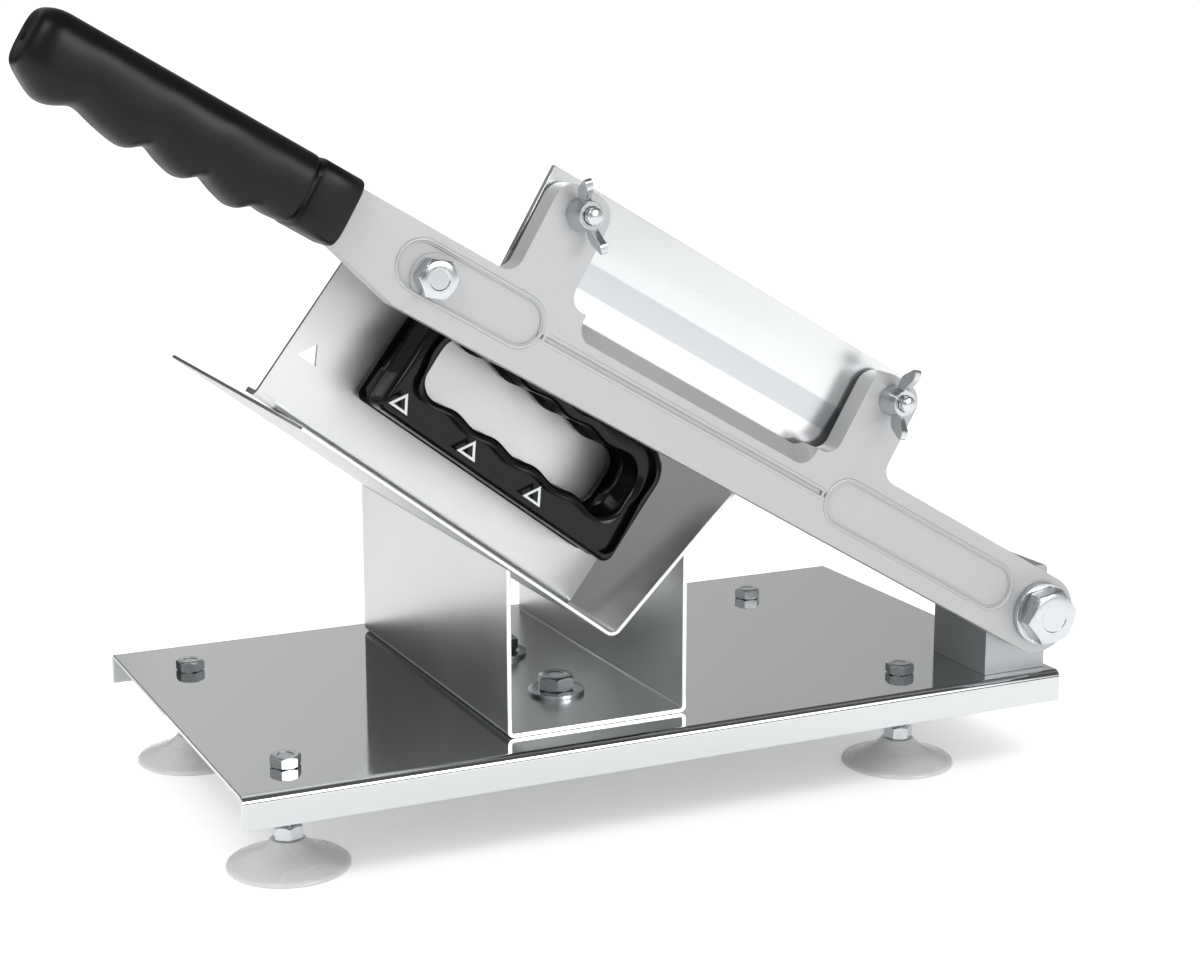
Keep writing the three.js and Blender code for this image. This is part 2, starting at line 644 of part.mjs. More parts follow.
function wingNut() {
  const { hubRadius, hubTop, hubHeight, span, thickness, rise, lobe } = wing;
  const hub = cone(hubRadius, hubTop, 0, hubHeight, sides.small);
  const half = span / 2;
  const rootShare = 0.25;
  const bladeShape = outline([
    [-hubTop / 2, rootShare * hubHeight, 0], [hubTop / 2, rootShare * hubHeight, 0],
    [half - lobe, hubHeight / 2, lobe], [half, rise, lobe / 2], [half - lobe, rise, lobe / 2],
    [hubTop, hubHeight - edge, lobe / 2], [-hubTop, hubHeight - edge, lobe / 2],
    [-half + lobe, rise, lobe / 2], [-half, rise, lobe / 2], [-half + lobe, hubHeight / 2, lobe],
  ]);
  const wings = extrude(bladeShape, 'y', -thickness / 2, thickness / 2);
  return carve(fuse([hub, wings]), [rod(m6.shank + clearance, -overrun, rise + overrun)]);
}

postAt.forEach((at, i) => {
  const label = i === 0 ? 'right' : 'left';
  const place = groupAt(lever, -at, 0, posts.bolt);
  place.rotation.x = Math.PI / 2;
  piece(place, `blade_bolt_${label}`, bladeBolt(), 'zinc');
  const spacer = piece(place, `blade_spacer_${label}`, washerOf(m6.washer, m6.shank + clearance, m6.thick), 'zinc');
  spacer.position.z = -armBack - play - m6.thick;
  const nut = piece(place, `wing_nut_${label}`, wingNut(), 'zinc');
  nut.position.z = -arm.front + play;
  nut.rotation.z = -radians(wingTurn[label]);
});

// Pusher: local -X runs up the trough's left wall and local +Z stands square to it
const pusherFront = bladeBack + pusher.fromBlade;
const carriage = groupAt(group, vertexX, pusherFront, tray.vertexZ);
carriage.rotation.y = leftTilt;
const plateRight = -pusher.fromVertex;
const plateLeft = plateRight - pusher.width;
const toothSpan = pusher.width - 2 * teeth.fromEnd;
const toothAt = Array.from({ length: teeth.count }, (_, i) => {
  return plateLeft + teeth.fromEnd + i * toothSpan / (teeth.count - 1);
});
const handleLeft = plateLeft + handle.fromLeft;
const handleRight = plateRight - handle.fromRight;
const handleTop = pusher.height - handle.fromTop;

function pusherPlate() {
  const { height, sheet, lip, bend, corner } = pusher;
  const inner = Math.max(bend - sheet, 0);
  const section = outline([
    [0, play, bend], [lip, play, 0], [lip, play + sheet, 0], [sheet, play + sheet, inner],
    [sheet, play + height, 0], [0, play + height, 0],
  ]);
  const bent = extrude(section, 'x', plateLeft, plateRight);
  const face = extrude(outline([
    [plateLeft, 0, 0], [plateRight, 0, 0], [plateRight, play + height, corner],
    [plateLeft, play + height, corner],
  ]), 'y', -overrun, lip + overrun);
  const whole = solid(bent).intersect(solid(face));

  // Each tooth is a triangle punched out of the plate and bent square to it, to the meat's side
  const half = teeth.base / 2;
  const rows = [teeth.lowRow, play + pusher.height - teeth.fromTop - teeth.height - teeth.sheet];
  const holes = [];
  const spikes = [];
  toothAt.forEach((at) => rows.forEach((up) => {
    const fold = up + teeth.sheet;
    holes.push(extrude(outline([[at - half, fold, 0], [at + half, fold, 0], [at, fold + teeth.height, 0]]),
      'y', -overrun, sheet + overrun));
    const spike = extrude(outline([[at - half, 0, 0], [at + half, 0, 0], [at, teeth.reach, 0]]), 'z',
      up, fold);
    spikes.push(spike.translate(0, sheet / 2, 0));
  }));
  handleScrewAt().forEach(([x, z]) => {
    holes.push(extrude(circle(x, z, handleScrews.radius + clearance, THREE.Shape), 'y', -overrun, sheet + overrun,
      sides.bore));
  });
  const holed = holes.reduce((rest, hole) => rest.subtract(solid(hole)), whole);
  return geometryOf(spikes.reduce((all, spike) => all.add(solid(spike)), holed));
}

function handleScrewAt() {
  return [handleLeft + handleScrews.inset, handleRight - handleScrews.inset].map((x) => {
    return [x, handle.up + handleScrews.up];
  });
}

function handleHalf(from, to, holeFrom, holeTo) {
  const low = handle.up;
  const round = handle.cornerRadius;
  const ring = outline([
    [handleLeft, low, handle.footCorner], [handleRight, low, handle.footCorner],
    [handleRight, handleTop, round], [handleLeft, handleTop, round],
  ]);
  const left = handleLeft + handle.leg;
  const right = handleRight - handle.leg;
  const floor = low + handle.lowBar;
  const ceiling = handleTop - handle.topBar;
  const corner = handle.innerRadius;
  const span = right - left - 2 * corner;
  const steps = sides.wave * handle.ripples;
  const hollow = new THREE.Path();
  // Both bars are waved for the fingers
  const waveTo = (from, way, level, lift) => {
    for (let i = 1; i <= steps; i++) {
      const share = i / steps;
      const wave = handle.ripple * (1 - Math.cos(2 * Math.PI * handle.ripples * share)) / 2;
      hollow.lineTo(from + way * share * span, level + lift * wave);
    }
  };
  hollow.moveTo(left, floor + corner);
  hollow.lineTo(left, ceiling - corner);
  hollow.quadraticCurveTo(left, ceiling, left + corner, ceiling);
  waveTo(left + corner, 1, ceiling, -1);
  hollow.quadraticCurveTo(right, ceiling, right, ceiling - corner);
  hollow.lineTo(right, floor + corner);
  hollow.quadraticCurveTo(right, floor, right - corner, floor);
  waveTo(right - corner, -1, floor, 1);
  hollow.quadraticCurveTo(left, floor, left, floor + corner);
  ring.holes.push(hollow);
  const cutters = handleScrewAt().map(([x, z]) => {
    return extrude(circle(x, z, handleScrews.radius + clearance, THREE.Shape), 'y', holeFrom, holeTo, sides.bore);
  });
  return carve(extrude(ring, 'y', from, to), cutters);
}

piece(carriage, 'pusher_plate', pusherPlate(), 'brushedSteel');
const rearHalfBack = -play;
const rearHalfFront = rearHalfBack - handle.half;
const frontHalfBack = rearHalfFront - play;
const frontHalfFront = frontHalfBack - handle.half;
piece(carriage, 'pusher_handle_rear',
  handleHalf(rearHalfFront, rearHalfBack, rearHalfFront - overrun, rearHalfBack + overrun), 'blackPlastic');
piece(carriage, 'pusher_handle_front',
  handleHalf(frontHalfFront, frontHalfBack, frontHalfBack - handleScrews.bite - 2 * play, frontHalfBack + overrun),
  'blackPlastic');

handleScrewAt().forEach(([x, z], i) => {
  const place = groupAt(carriage, x, 0, z);
  place.rotation.x = Math.PI / 2;
  const headLow = -pusher.sheet - play - handleScrews.headHeight;
  const screw = fuse([
    cone(handleScrews.head, handleScrews.head, headLow, headLow + handleScrews.headHeight),
    rod(handleScrews.radius, headLow + handleScrews.headHeight / 2, -frontHalfBack + handleScrews.bite),
  ]);
  piece(place, `handle_screw_${sideNames[i]}`, screw, 'zinc');
});

// The origin is the middle of the footprint, on the surface that the cups stand on
group.updateMatrixWorld(true);
const box = new THREE.Box3().setFromObject(group, true);
group.position.set(-(box.min.x + box.max.x) / 2, -(box.min.y + box.max.y) / 2, -box.min.z);
group.updateMatrixWorld(true);

export default group;
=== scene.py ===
"""Bench slicer for frozen meat, worked by a hand lever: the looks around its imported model.

Sizes in the classes are millimetres in the frame of the sub-assembly that they describe. Meshes are metres.
"""
import json
import logging
import math
from collections.abc import Callable, Sequence
from dataclasses import dataclass, field
from enum import Enum
from typing import Any

import bmesh
import bpy
import numpy as np
from mathutils import Matrix, Vector


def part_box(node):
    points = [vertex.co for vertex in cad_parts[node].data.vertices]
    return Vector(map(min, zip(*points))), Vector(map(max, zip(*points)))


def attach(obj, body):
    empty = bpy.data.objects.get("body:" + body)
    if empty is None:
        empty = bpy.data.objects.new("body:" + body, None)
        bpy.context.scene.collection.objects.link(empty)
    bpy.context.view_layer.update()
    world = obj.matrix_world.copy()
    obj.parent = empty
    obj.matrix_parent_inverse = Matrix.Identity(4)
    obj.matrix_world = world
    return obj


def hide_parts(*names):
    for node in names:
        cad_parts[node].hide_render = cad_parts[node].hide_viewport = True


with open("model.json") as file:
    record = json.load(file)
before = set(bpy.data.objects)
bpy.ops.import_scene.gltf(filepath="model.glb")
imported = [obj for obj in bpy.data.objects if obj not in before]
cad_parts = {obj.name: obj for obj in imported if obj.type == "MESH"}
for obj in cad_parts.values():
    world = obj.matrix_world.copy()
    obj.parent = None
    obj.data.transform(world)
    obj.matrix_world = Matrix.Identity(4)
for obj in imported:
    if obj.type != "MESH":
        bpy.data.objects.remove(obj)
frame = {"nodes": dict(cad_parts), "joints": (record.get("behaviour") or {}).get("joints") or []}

Array = np.ndarray
MM = 0.001
TURN = 2 * math.pi
LOG = logging.getLogger("slicer")
# Merging distances in metres, and the angle in degrees under which neighbouring faces are one
DOUBLE_GAP = 4e-6
SLIVER_GAP = 1e-6
FLAT_ANGLE = 0.4


class Side(Enum):
    """Left or right, as the viewer sees them."""

    LEFT = "left"
    RIGHT = "right"


class End(Enum):
    """The viewer's end or the far end."""

    FRONT = "front"
    REAR = "rear"


class Way(Enum):
    """The direction across a card that its shade changes along."""

    WIDTH = "X"
    HEIGHT = "Y"


# Places

@dataclass(frozen=True)
class Place:
    """A frame inside the row frame: where its origin lies, and its turn."""

    matrix: Array

    @classmethod
    def at(cls, x: float, y: float, z: float, turn: Matrix | None = None) -> "Place":
        """Makes a frame.

        Args:
            x: its origin's place along X in metres.
            y: along Y.
            z: along Z.
            turn: its turn, or nothing.

        Returns:
            The frame.
        """
        matrix = np.eye(4)
        if turn is not None:
            matrix[:3, :3] = np.array(turn.to_3x3())
        matrix[:3, 3] = (x, y, z)
        return cls(matrix)

    def inside(self, x: float, y: float, z: float, turn: Matrix | None = None) -> "Place":
        """Makes a frame inside this one, from its origin in millimetres and its turn."""
        return Place(self.matrix @ Place.at(x * MM, y * MM, z * MM, turn).matrix)

    def points(self, local: Array) -> Array:
        """Turns points in millimetres of this frame into metres of the row frame."""
        return (local * MM) @ self.matrix[:3, :3].T + self.matrix[:3, 3]


def turn_about(axis: str, degrees: float) -> Matrix:
    """A turn about a main axis."""
    return Matrix.Rotation(math.radians(degrees), 4, axis)


TO_FRONT = turn_about("X", 90)


def middle(node: str) -> Vector:
    """The middle of a solid's box, in metres."""
    low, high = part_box(node)
    return (low + high) / 2


PLATE_LOW, PLATE_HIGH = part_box("base_plate")
BASE = Place.at(PLATE_LOW.x, PLATE_LOW.y, PLATE_HIGH.z)
HINGE = next(joint for joint in frame["joints"] if joint["name"] == "lever_hinge")["pos_m"]
REST_TILT = 30.33
LEVER = Place.at(HINGE[0], PLATE_LOW.y, HINGE[2], turn_about("Y", REST_TILT))


# Meshes

def link_object(name: str, data: bpy.types.ID) -> bpy.types.Object:
    """Puts a new object into the scene.

    Args:
        name: its name.
        data: its mesh, light or camera.

    Returns:
        The object.
    """
    made = bpy.data.objects.new(name, data)
    bpy.context.scene.collection.objects.link(made)
    return made


def make_object(name: str, points: Array, faces: Sequence[Sequence[int]],
                smooth: float = 32) -> bpy.types.Object:
    """Makes a closed mesh whose faces point out, with smooth shading under an angle.

    Args:
        name: the piece's name.
        points: its vertices in metres.
        faces: vertex numbers of each face.
        smooth: edges sharper than this, in degrees, stay sharp.

    Returns:
        The object, at the origin and unturned.
    """
    mesh = bpy.data.meshes.new(name)
    mesh.from_pydata(points.tolist(), [], [list(map(int, face)) for face in faces])
    return settle(name, mesh, smooth)


def settle(name: str, mesh: bpy.types.Mesh, smooth: float, flat: bool = False) -> bpy.types.Object:
    """Merges doubles, joins coplanar faces if asked, points the faces out and shades the mesh.

    Args:
        name: the piece's name.
        mesh: its mesh.
        smooth: edges sharper than this, in degrees, stay sharp.
        flat: whether coplanar faces are joined.

    Returns:
        The object, at the origin and unturned.
    """
    work = bmesh.new()
    work.from_mesh(mesh)
    bmesh.ops.remove_doubles(work, verts=work.verts, dist=DOUBLE_GAP)
    bmesh.ops.dissolve_degenerate(work, edges=work.edges, dist=SLIVER_GAP)
    if flat:
        bmesh.ops.dissolve_limit(work, angle_limit=math.radians(FLAT_ANGLE), verts=work.verts,
                                 edges=work.edges)
    bmesh.ops.recalc_face_normals(work, faces=work.faces)
    if work.calc_volume(signed=True) < 0:
        bmesh.ops.reverse_faces(work, faces=work.faces)
    work.to_mesh(mesh)
    work.free()
    mesh.shade_smooth()
    mesh.set_sharp_from_angle(angle=math.radians(smooth))
    return link_object(name, mesh)


def grid_faces(rows: int, columns: int, wrap_rows: bool, wrap_columns: bool) -> Array:
    """Quads of a grid of points, row by row, joined round where asked.

    Args:
        rows: number of rows.
        columns: number of points in a row.
        wrap_rows: whether the last row joins the first.
        wrap_columns: whether the last point of a row joins its first.

    Returns:
        The four point numbers of each quad.
    """
    index = np.arange(rows * columns).reshape(rows, columns)
    below = np.roll(index, -1, 0) if wrap_rows else index[1:]
    here = index if wrap_rows else index[:-1]
    quads = np.stack([here, np.roll(here, -1, 1), np.roll(below, -1, 1), below], -1)
    if not wrap_columns:
        quads = quads[:, :-1]
    return quads.reshape(-1, 4)


def angles(steps: int) -> Array:
    """Equal angles round one turn."""
    return np.arange(steps) * TURN / steps


def lathe_grid(name: str, place: Place, radius: Array, height: Array, closed: bool,
               smooth: float = 32) -> bpy.types.Object:
    """A turned piece whose radius r and height h are grids, profile by angle: (r cos a, r sin a, h).

    Args:
        name: the piece's name.
        place: the frame whose Z it is turned about.
        radius: distance of each point from the axis.
        height: height of each point.
        closed: whether the profile closes, or else starts and ends on the axis.
        smooth: edges sharper than this, in degrees, stay sharp.

    Returns:
        The object.
    """
    rows, steps = radius.shape
    angle = angles(steps)
    points = np.stack([radius * np.cos(angle), radius * np.sin(angle), height], -1)
    faces = grid_faces(rows, steps, closed, True)
    return make_object(name, place.points(points.reshape(-1, 3)), faces, smooth)


def turned(name: str, place: Place, profile: Array, steps: int = 72, smooth: float = 32) -> bpy.types.Object:
    """A turned piece: each profile point goes round local Z.

    Args:
        name: the piece's name.
        place: the frame whose Z it is turned about.
        profile: radius and height of each point. Its ends lie on the axis, or it closes.
        steps: number of steps round.
        smooth: edges sharper than this, in degrees, stay sharp.

    Returns:
        The object.
    """
    around = np.zeros(steps)
    radius, height = profile[:, :1] + around, profile[:, 1:] + around
    return lathe_grid(name, place, radius, height, profile[0, 0] > 0, smooth)


def smooth_profile(corners: Sequence[tuple[float, float]], steps: int) -> Array:
    """A smooth curve through profile points, by Catmull and Rom's cubic from each point to the next.

    Args:
        corners: the points.
        steps: number of steps in each span.

    Returns:
        The curve's points.
    """
    knots = np.array(corners, float)
    padded = np.vstack([2 * knots[0] - knots[1], knots, 2 * knots[-1] - knots[-2]])
    t = np.linspace(0, 1, steps, endpoint=False)[:, None]
    spans = []
    for a, b, c, d in zip(padded, padded[1:], padded[2:], padded[3:]):
        spans.append(0.5 * (2 * b + (c - a) * t + (2 * a - 5 * b + 4 * c - d) * t ** 2
                            + (3 * b - a - 3 * c + d) * t ** 3))
    return np.vstack([*spans, knots[-1:]])


def copy_of(node: str, name: str, bevel: float, segments: int = 2, smooth: float = 28) -> bpy.types.Object:
    """A merged copy of a solid, its flat faces joined and its edges rounded, which replaces it.

    Args:
        node: the solid's name.
        name: the new piece's name.
        bevel: the width of the rounding, in millimetres.
        segments: steps of the rounding.
        smooth: edges sharper than this, in degrees, stay sharp. Those that are a little sharper are rounded.

    Returns:
        The new object.
    """
    margin = 4
    mesh = frame["nodes"][node].data.copy()
    mesh.materials.clear()
    piece = settle(name, mesh, smooth, flat=True)
    rounding = piece.modifiers.new("rounded edges", "BEVEL")
    rounding.width = bevel * MM
    rounding.segments = segments
    rounding.limit_method = "ANGLE"
    rounding.angle_limit = math.radians(smooth + margin)
    level = piece.modifiers.new("level faces", "WEIGHTED_NORMAL")
    level.keep_sharp = True
    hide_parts(node)
    return piece


def finish_piece(piece: bpy.types.Object, body: str, finish: "Finish", node: str = "") -> None:
    """Dresses a piece, puts it on its body and hides the solid that it stands for.

    Args:
        piece: the piece.
        body: the body that it rides on.
        finish: its material.
        node: the solid's name, or nothing.
    """
    piece.data.materials.append(finish.material())
    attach(piece, body)
    if node:
        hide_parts(node)
    LOG.info("made %s", piece.name)


def plated(build: Callable[..., bpy.types.Object], node: str, body: str, *sizes: Any) -> None:
    """Makes a zinc-plated piece in place of a solid.

    Args:
        build: the function that makes the mesh from a name and sizes.
        node: the solid's name.
        body: the body that it rides on.
        sizes: what the function takes after the name.
    """
    finish_piece(build(f"{node}_plated", *sizes), body, ZINC, node)


# Finishes

def linear(colour: int) -> tuple[float, float, float, float]:
    """Turns an sRGB colour into a linear one.

    Args:
        colour: the colour as hex red, green and blue.

    Returns:
        Linear red, green, blue and alpha.
    """
    parts = np.array([(colour >> shift) & 255 for shift in (16, 8, 0)]) / 255
    light = np.where(parts <= 0.04045, parts / 12.92, ((parts + 0.055) / 1.055) ** 2.4)
    return (*light.tolist(), 1.0)


def add_node(tree: bpy.types.NodeTree, kind: str, settings: dict[str, Any] | None = None,
             inputs: dict[str | int, Any] | None = None) -> bpy.types.Node:
    """Adds a node, sets its properties, and sets or links its inputs.

    Args:
        tree: the node tree.
        kind: the node's type.
        settings: its properties.
        inputs: a value, or the output socket to link, for each input's name or number.

    Returns:
        The node.
    """
    node = tree.nodes.new(kind)
    for key, value in (settings or {}).items():
        setattr(node, key, value)
    for key, value in (inputs or {}).items():
        if isinstance(value, bpy.types.NodeSocket):
            tree.links.new(value, node.inputs[key])
        else:
            node.inputs[key].default_value = value
    return node


def set_ramp(node: bpy.types.Node, stops: Sequence[tuple[float, tuple[float, ...]]]) -> None:
    """Sets a ramp's colours.

    Args:
        node: the ramp.
        stops: places from 0 to 1, and the linear colour at each.
    """
    ramp = node.color_ramp
    while len(ramp.elements) < len(stops):
        ramp.elements.new(1)
    for element, (at, colour) in zip(ramp.elements, stops):
        element.position = at
        element.color = colour


@dataclass(frozen=True)
class Finish:
    """A surface with soft cloudy smudges in its gloss and a fine grain in its relief."""

    name: str
    colour: int
    metallic: float
    roughness: float
    # Size of the smudges and how far they change the roughness
    smudge: float = 30
    smudge_range: float = 0.0
    # Size and height of the grain, and how much longer it is along one direction
    grain: float = 0.5
    relief: float = 0.0
    stretch: tuple[float, float, float] = (1, 1, 1)
    turn: tuple[float, float, float] = (0, 0, 0)
    extra: dict[str, Any] = field(default_factory=dict)

    def material(self) -> bpy.types.Material:
        """Builds the material the first time that it is asked for.

        Returns:
            The material.
        """
        known = bpy.data.materials.get(self.name)
        if known:
            return known
        made = bpy.data.materials.new(self.name)
        made.use_nodes = True
        tree = made.node_tree
        shader = tree.nodes["Principled BSDF"]
        shader.inputs["Base Color"].default_value = linear(self.colour)
        shader.inputs["Metallic"].default_value = self.metallic
        shader.inputs["Roughness"].default_value = self.roughness
        for key, value in self.extra.items():
            shader.inputs[key].default_value = value
        place = add_node(tree, "ShaderNodeTexCoord")
        if self.smudge_range:
            clouds = add_node(tree, "ShaderNodeTexNoise", inputs={
                "Vector": place.outputs["Object"], "Scale": 1 / (self.smudge * MM), "Detail": 3.0})
            level = add_node(tree, "ShaderNodeMapRange", inputs={
                "Value": clouds.outputs["Fac"], "From Min": 0.3, "From Max": 0.7,
                "To Min": self.roughness - self.smudge_range, "To Max": self.roughness + self.smudge_range})
            tree.links.new(level.outputs["Result"], shader.inputs["Roughness"])
        if self.relief:
            along = add_node(tree, "ShaderNodeMapping", inputs={
                "Vector": place.outputs["Object"], "Scale": self.stretch,
                "Rotation": [math.radians(a) for a in self.turn]})
            grains = add_node(tree, "ShaderNodeTexNoise", inputs={
                "Vector": along.outputs["Vector"], "Scale": 1 / (self.grain * MM), "Detail": 4.0})
            bump = add_node(tree, "ShaderNodeBump", inputs={
                "Height": grains.outputs["Fac"], "Distance": self.relief * MM, "Strength": 1.0})
            tree.links.new(bump.outputs["Normal"], shader.inputs["Normal"])
        self.more(tree, shader, place)
        return made

    def more(self, tree: bpy.types.NodeTree, shader: bpy.types.Node, place: bpy.types.Node) -> None:
        """Adds what a special finish has beyond smudges and grain. A plain finish has nothing.

        Args:
            tree: the material's node tree.
            shader: its shader.
            place: the node that gives Object coordinates.
        """


@dataclass(frozen=True)
class GroundBlade(Finish):
    """Ground tool steel: a polished back, then a bevel painted grey as shade, then one painted bright as
    reflected light at the edge.

    The fields are heights above the lever's axis: the tops of the two bevels, the span that the bands are
    worked out over, and the softness of their borders as a share of it.
    """

    first: float = 31
    second: float = 21
    span: float = 60
    soft: float = 0.008

    def more(self, tree: bpy.types.NodeTree, shader: bpy.types.Node, place: bpy.types.Node) -> None:
        """Paints the bevels' shade and reflected light as colour bands, by the height above the lever's axis.

        Args:
            tree: the material's node tree.
            shader: its shader.
            place: the node that gives Object coordinates.
        """
        up = add_node(tree, "ShaderNodeVectorMath", {"operation": "DOT_PRODUCT"}, {
            0: place.outputs["Object"], 1: tuple(LEVER.matrix[:3, 2])})
        origin = float(LEVER.matrix[:3, 2] @ LEVER.matrix[:3, 3])
        height = add_node(tree, "ShaderNodeMapRange", inputs={
            "Value": up.outputs["Value"], "From Min": origin, "From Max": origin + self.span * MM})
        bands = add_node(tree, "ShaderNodeValToRGB", inputs={"Fac": height.outputs["Result"]})
        one, two = self.second / self.span, self.first / self.span
        # Painted light: the bright band is painted reflected light on the edge's bevel, and the grey band is
        # painted shade on the bevel above it
        bright, grey, plain = linear(0xEAEBEC), linear(0xC0C3C5), linear(self.colour)
        soft = self.soft
        set_ramp(bands, [(0, bright), (one - soft, bright), (one + soft, grey), (two - soft, grey),
                         (two + soft, plain)])
        tree.links.new(bands.outputs["Color"], shader.inputs["Base Color"])


# Stainless sheet, buffed to a mirror: crisp reflections, with faint wiping smudges in the gloss
MIRROR_STEEL = Finish("stainless_mirror_polished", 0xC9CBCC, 1.0, 0.06, smudge=55, smudge_range=0.025)
# Stainless sheet, polished less finely: reflections are sharp where things touch it and blur away from it
SOFT_MIRROR_STEEL = Finish("stainless_fine_polished", 0xE0E2E2, 1.0, 0.3, smudge=70, smudge_range=0.03)
# Stainless sheet with a fine satin grain along its length
SATIN_STEEL = Finish("stainless_satin_brushed", 0xD6D7D7, 1.0, 0.36, smudge=40, smudge_range=0.04,
                     grain=0.25, relief=0.004, stretch=(0.03, 1, 1), turn=(0, -37, 0))
# Ground tool steel: fine lines square to the edge, and bevels whose light and shade are painted into the
# colour as bright and grey bands
BLADE_STEEL = GroundBlade("tool_steel_ground", 0xDCDEDF, 1.0, 0.24, smudge=60, smudge_range=0.04,
                          grain=0.3, relief=0.003, stretch=(1, 1, 0.04), turn=(0, -REST_TILT, 0))
# Zinc-plated steel: bright, slightly milky, with small uneven patches
ZINC = Finish("zinc_plated_steel", 0xC8CBCD, 1.0, 0.24, smudge=6, smudge_range=0.05)
# Die-cast aluminium under silver spray paint: an even soft sheen with a fine sandy grain
SILVER_CAST = Finish("aluminium_cast_silver_sprayed", 0xB0B1B2, 0.35, 0.4, smudge=45, smudge_range=0.05,
                     grain=0.6, relief=0.012)
# Sawn and tumbled aluminium block: darker and duller than the arm
BLOCK_ALUMINIUM = Finish("aluminium_satin_block", 0xA7AAAC, 0.8, 0.36, smudge=20, smudge_range=0.05,
                         grain=0.4, relief=0.01)
# Moulded black ABS: deep black with a soft gloss and a barely visible moulding grain
BLACK_ABS = Finish("abs_moulded_black", 0x050506, 0.0, 0.36, smudge=35, smudge_range=0.04,
                   grain=0.7, relief=0.006, extra={"IOR": 1.53, "Specular IOR Level": 0.25})
# ABS from a polished mould: the same black with a higher gloss
GLOSS_ABS = Finish("abs_moulded_black_glossy", 0x08080A, 0.0, 0.2, smudge=35, smudge_range=0.04,
                   extra={"IOR": 1.53, "Specular IOR Level": 0.26})
# Soft clear PVC: milky where it is thick, with a wet shine
CLEAR_PVC = Finish("pvc_soft_clear", 0xCBCCCC, 0.0, 0.26, smudge=14, smudge_range=0.05,
                   extra={"IOR": 1.52, "Subsurface Weight": 0.2, "Subsurface Scale": 0.004})


# Fasteners

# Steps round a hexagon or a thread, the share of the half flats in an end face's circle, and its chamfer
HEX_STEPS = 96
FACE_SHARE = 0.95
CHAMFER = 30
# The round dish in a bolt's head: its share of the face, its depth and the width of its slope
DISH_SHARE = 0.62
DISH_DEPTH = 0.25
DISH_SLOPE = 0.4
# The chamfer at a bolt's tip, and the gap between its shank and its thread
TIP_CHAMFER = 0.6
RUN_OUT = 0.2
# The clearance of a nut's bore and the rounding of a washer's edges
BORE_PLAY = 0.12
WASHER_EDGE = 0.18


@dataclass(frozen=True)
class Metric:
    """One size of metric fastener: across flats, head and nut height, shank radius, thread pitch, washer."""

    flats: float
    head: float
    nut: float
    shank: float
    pitch: float
    washer: float
    thick: float


M6 = Metric(10, 4.2, 5.2, 3, 1.0, 6, 1.6)
M8 = Metric(13, 5.6, 6.8, 4, 1.25, 11, 1.6)
M12 = Metric(20, 7.6, 10.2, 6, 1.75, 12.3, 2.4)


def hexagon_rows(size: Metric, height: float, angle: Array) -> tuple[Array, Array]:
    """Radius and height of a hexagonal body with turned chamfers.

    The radius at an angle is the smaller of the hexagon's, half the flats over the cosine of the angle to the
    nearest flat, and the chamfer cone's, which grows from the circle of each end face.

    Args:
        size: the fastener's size.
        height: the body's height.
        angle: the angles round it.

    Returns:
        A grid of radii and a grid of heights, from the bottom up.
    """
    half = size.flats / 2
    hexagon = half / np.cos(angle % (TURN / 6) - TURN / 12)
    face = FACE_SHARE * half
    slope = math.tan(math.radians(CHAMFER))
    rise = (half / math.cos(TURN / 12) - face) * slope
    near = np.concatenate([np.linspace(0, rise, 9), [rise * 1.15]])
    level = np.concatenate([near, height - near[::-1]])[:, None]
    from_end = np.minimum(level, height - level)
    radius = np.minimum(hexagon, face + from_end / slope)
    return radius, level + 0 * angle


def thread_rows(size: Metric, low: float, high: float, angle: Array) -> tuple[Array, Array]:
    """Radius and height of a thread: the radius falls by a triangle wave that climbs one pitch a turn.

    Args:
        size: the fastener's size.
        low: where the thread starts.
        high: where it ends.
        angle: the angles round it.

    Returns:
        A grid of radii and a grid of heights, from the bottom up.
    """
    rings_a_pitch, depth_share = 6, 0.3
    count = max(4, int((high - low) / size.pitch * rings_a_pitch))
    level = np.linspace(low, high, count)[:, None]
    phase = (level / size.pitch - angle / TURN) % 1
    depth = depth_share * size.pitch
    fade = np.clip(np.minimum(level - low, high - level) / size.pitch, 0, 1)
    radius = size.shank - depth * fade * np.abs(2 * phase - 1)
    return radius, level + 0 * angle


def ring_row(radius: float, height: float, angle: Array) -> tuple[Array, Array]:
    """One ring of a turned grid."""
    return np.full((1, len(angle)), radius), np.full((1, len(angle)), height)


def stack_rows(*rows: tuple[Array, Array]) -> tuple[Array, Array]:
    """Joins rings and rows of a turned grid in order."""
    return np.vstack([row[0] for row in rows]), np.vstack([row[1] for row in rows])


def hex_nut(name: str, place: Place, size: Metric) -> bpy.types.Object:
    """A chamfered nut with a countersunk bore.

    Args:
        name: the piece's name.
        place: the frame that it stands on, along local Z.
        size: its size.

    Returns:
        The object.
    """
    angle = angles(HEX_STEPS)
    bore = size.shank + BORE_PLAY
    sink = 0.5 * size.pitch
    outer = hexagon_rows(size, size.nut, angle)
    top = [ring_row(bore + sink, size.nut, angle), ring_row(bore, size.nut - sink, angle)]
    bottom = [ring_row(bore, sink, angle), ring_row(bore + sink, 0, angle)]
    radius, height = stack_rows(outer, *top, *bottom)
    return lathe_grid(name, place, radius, height, True)


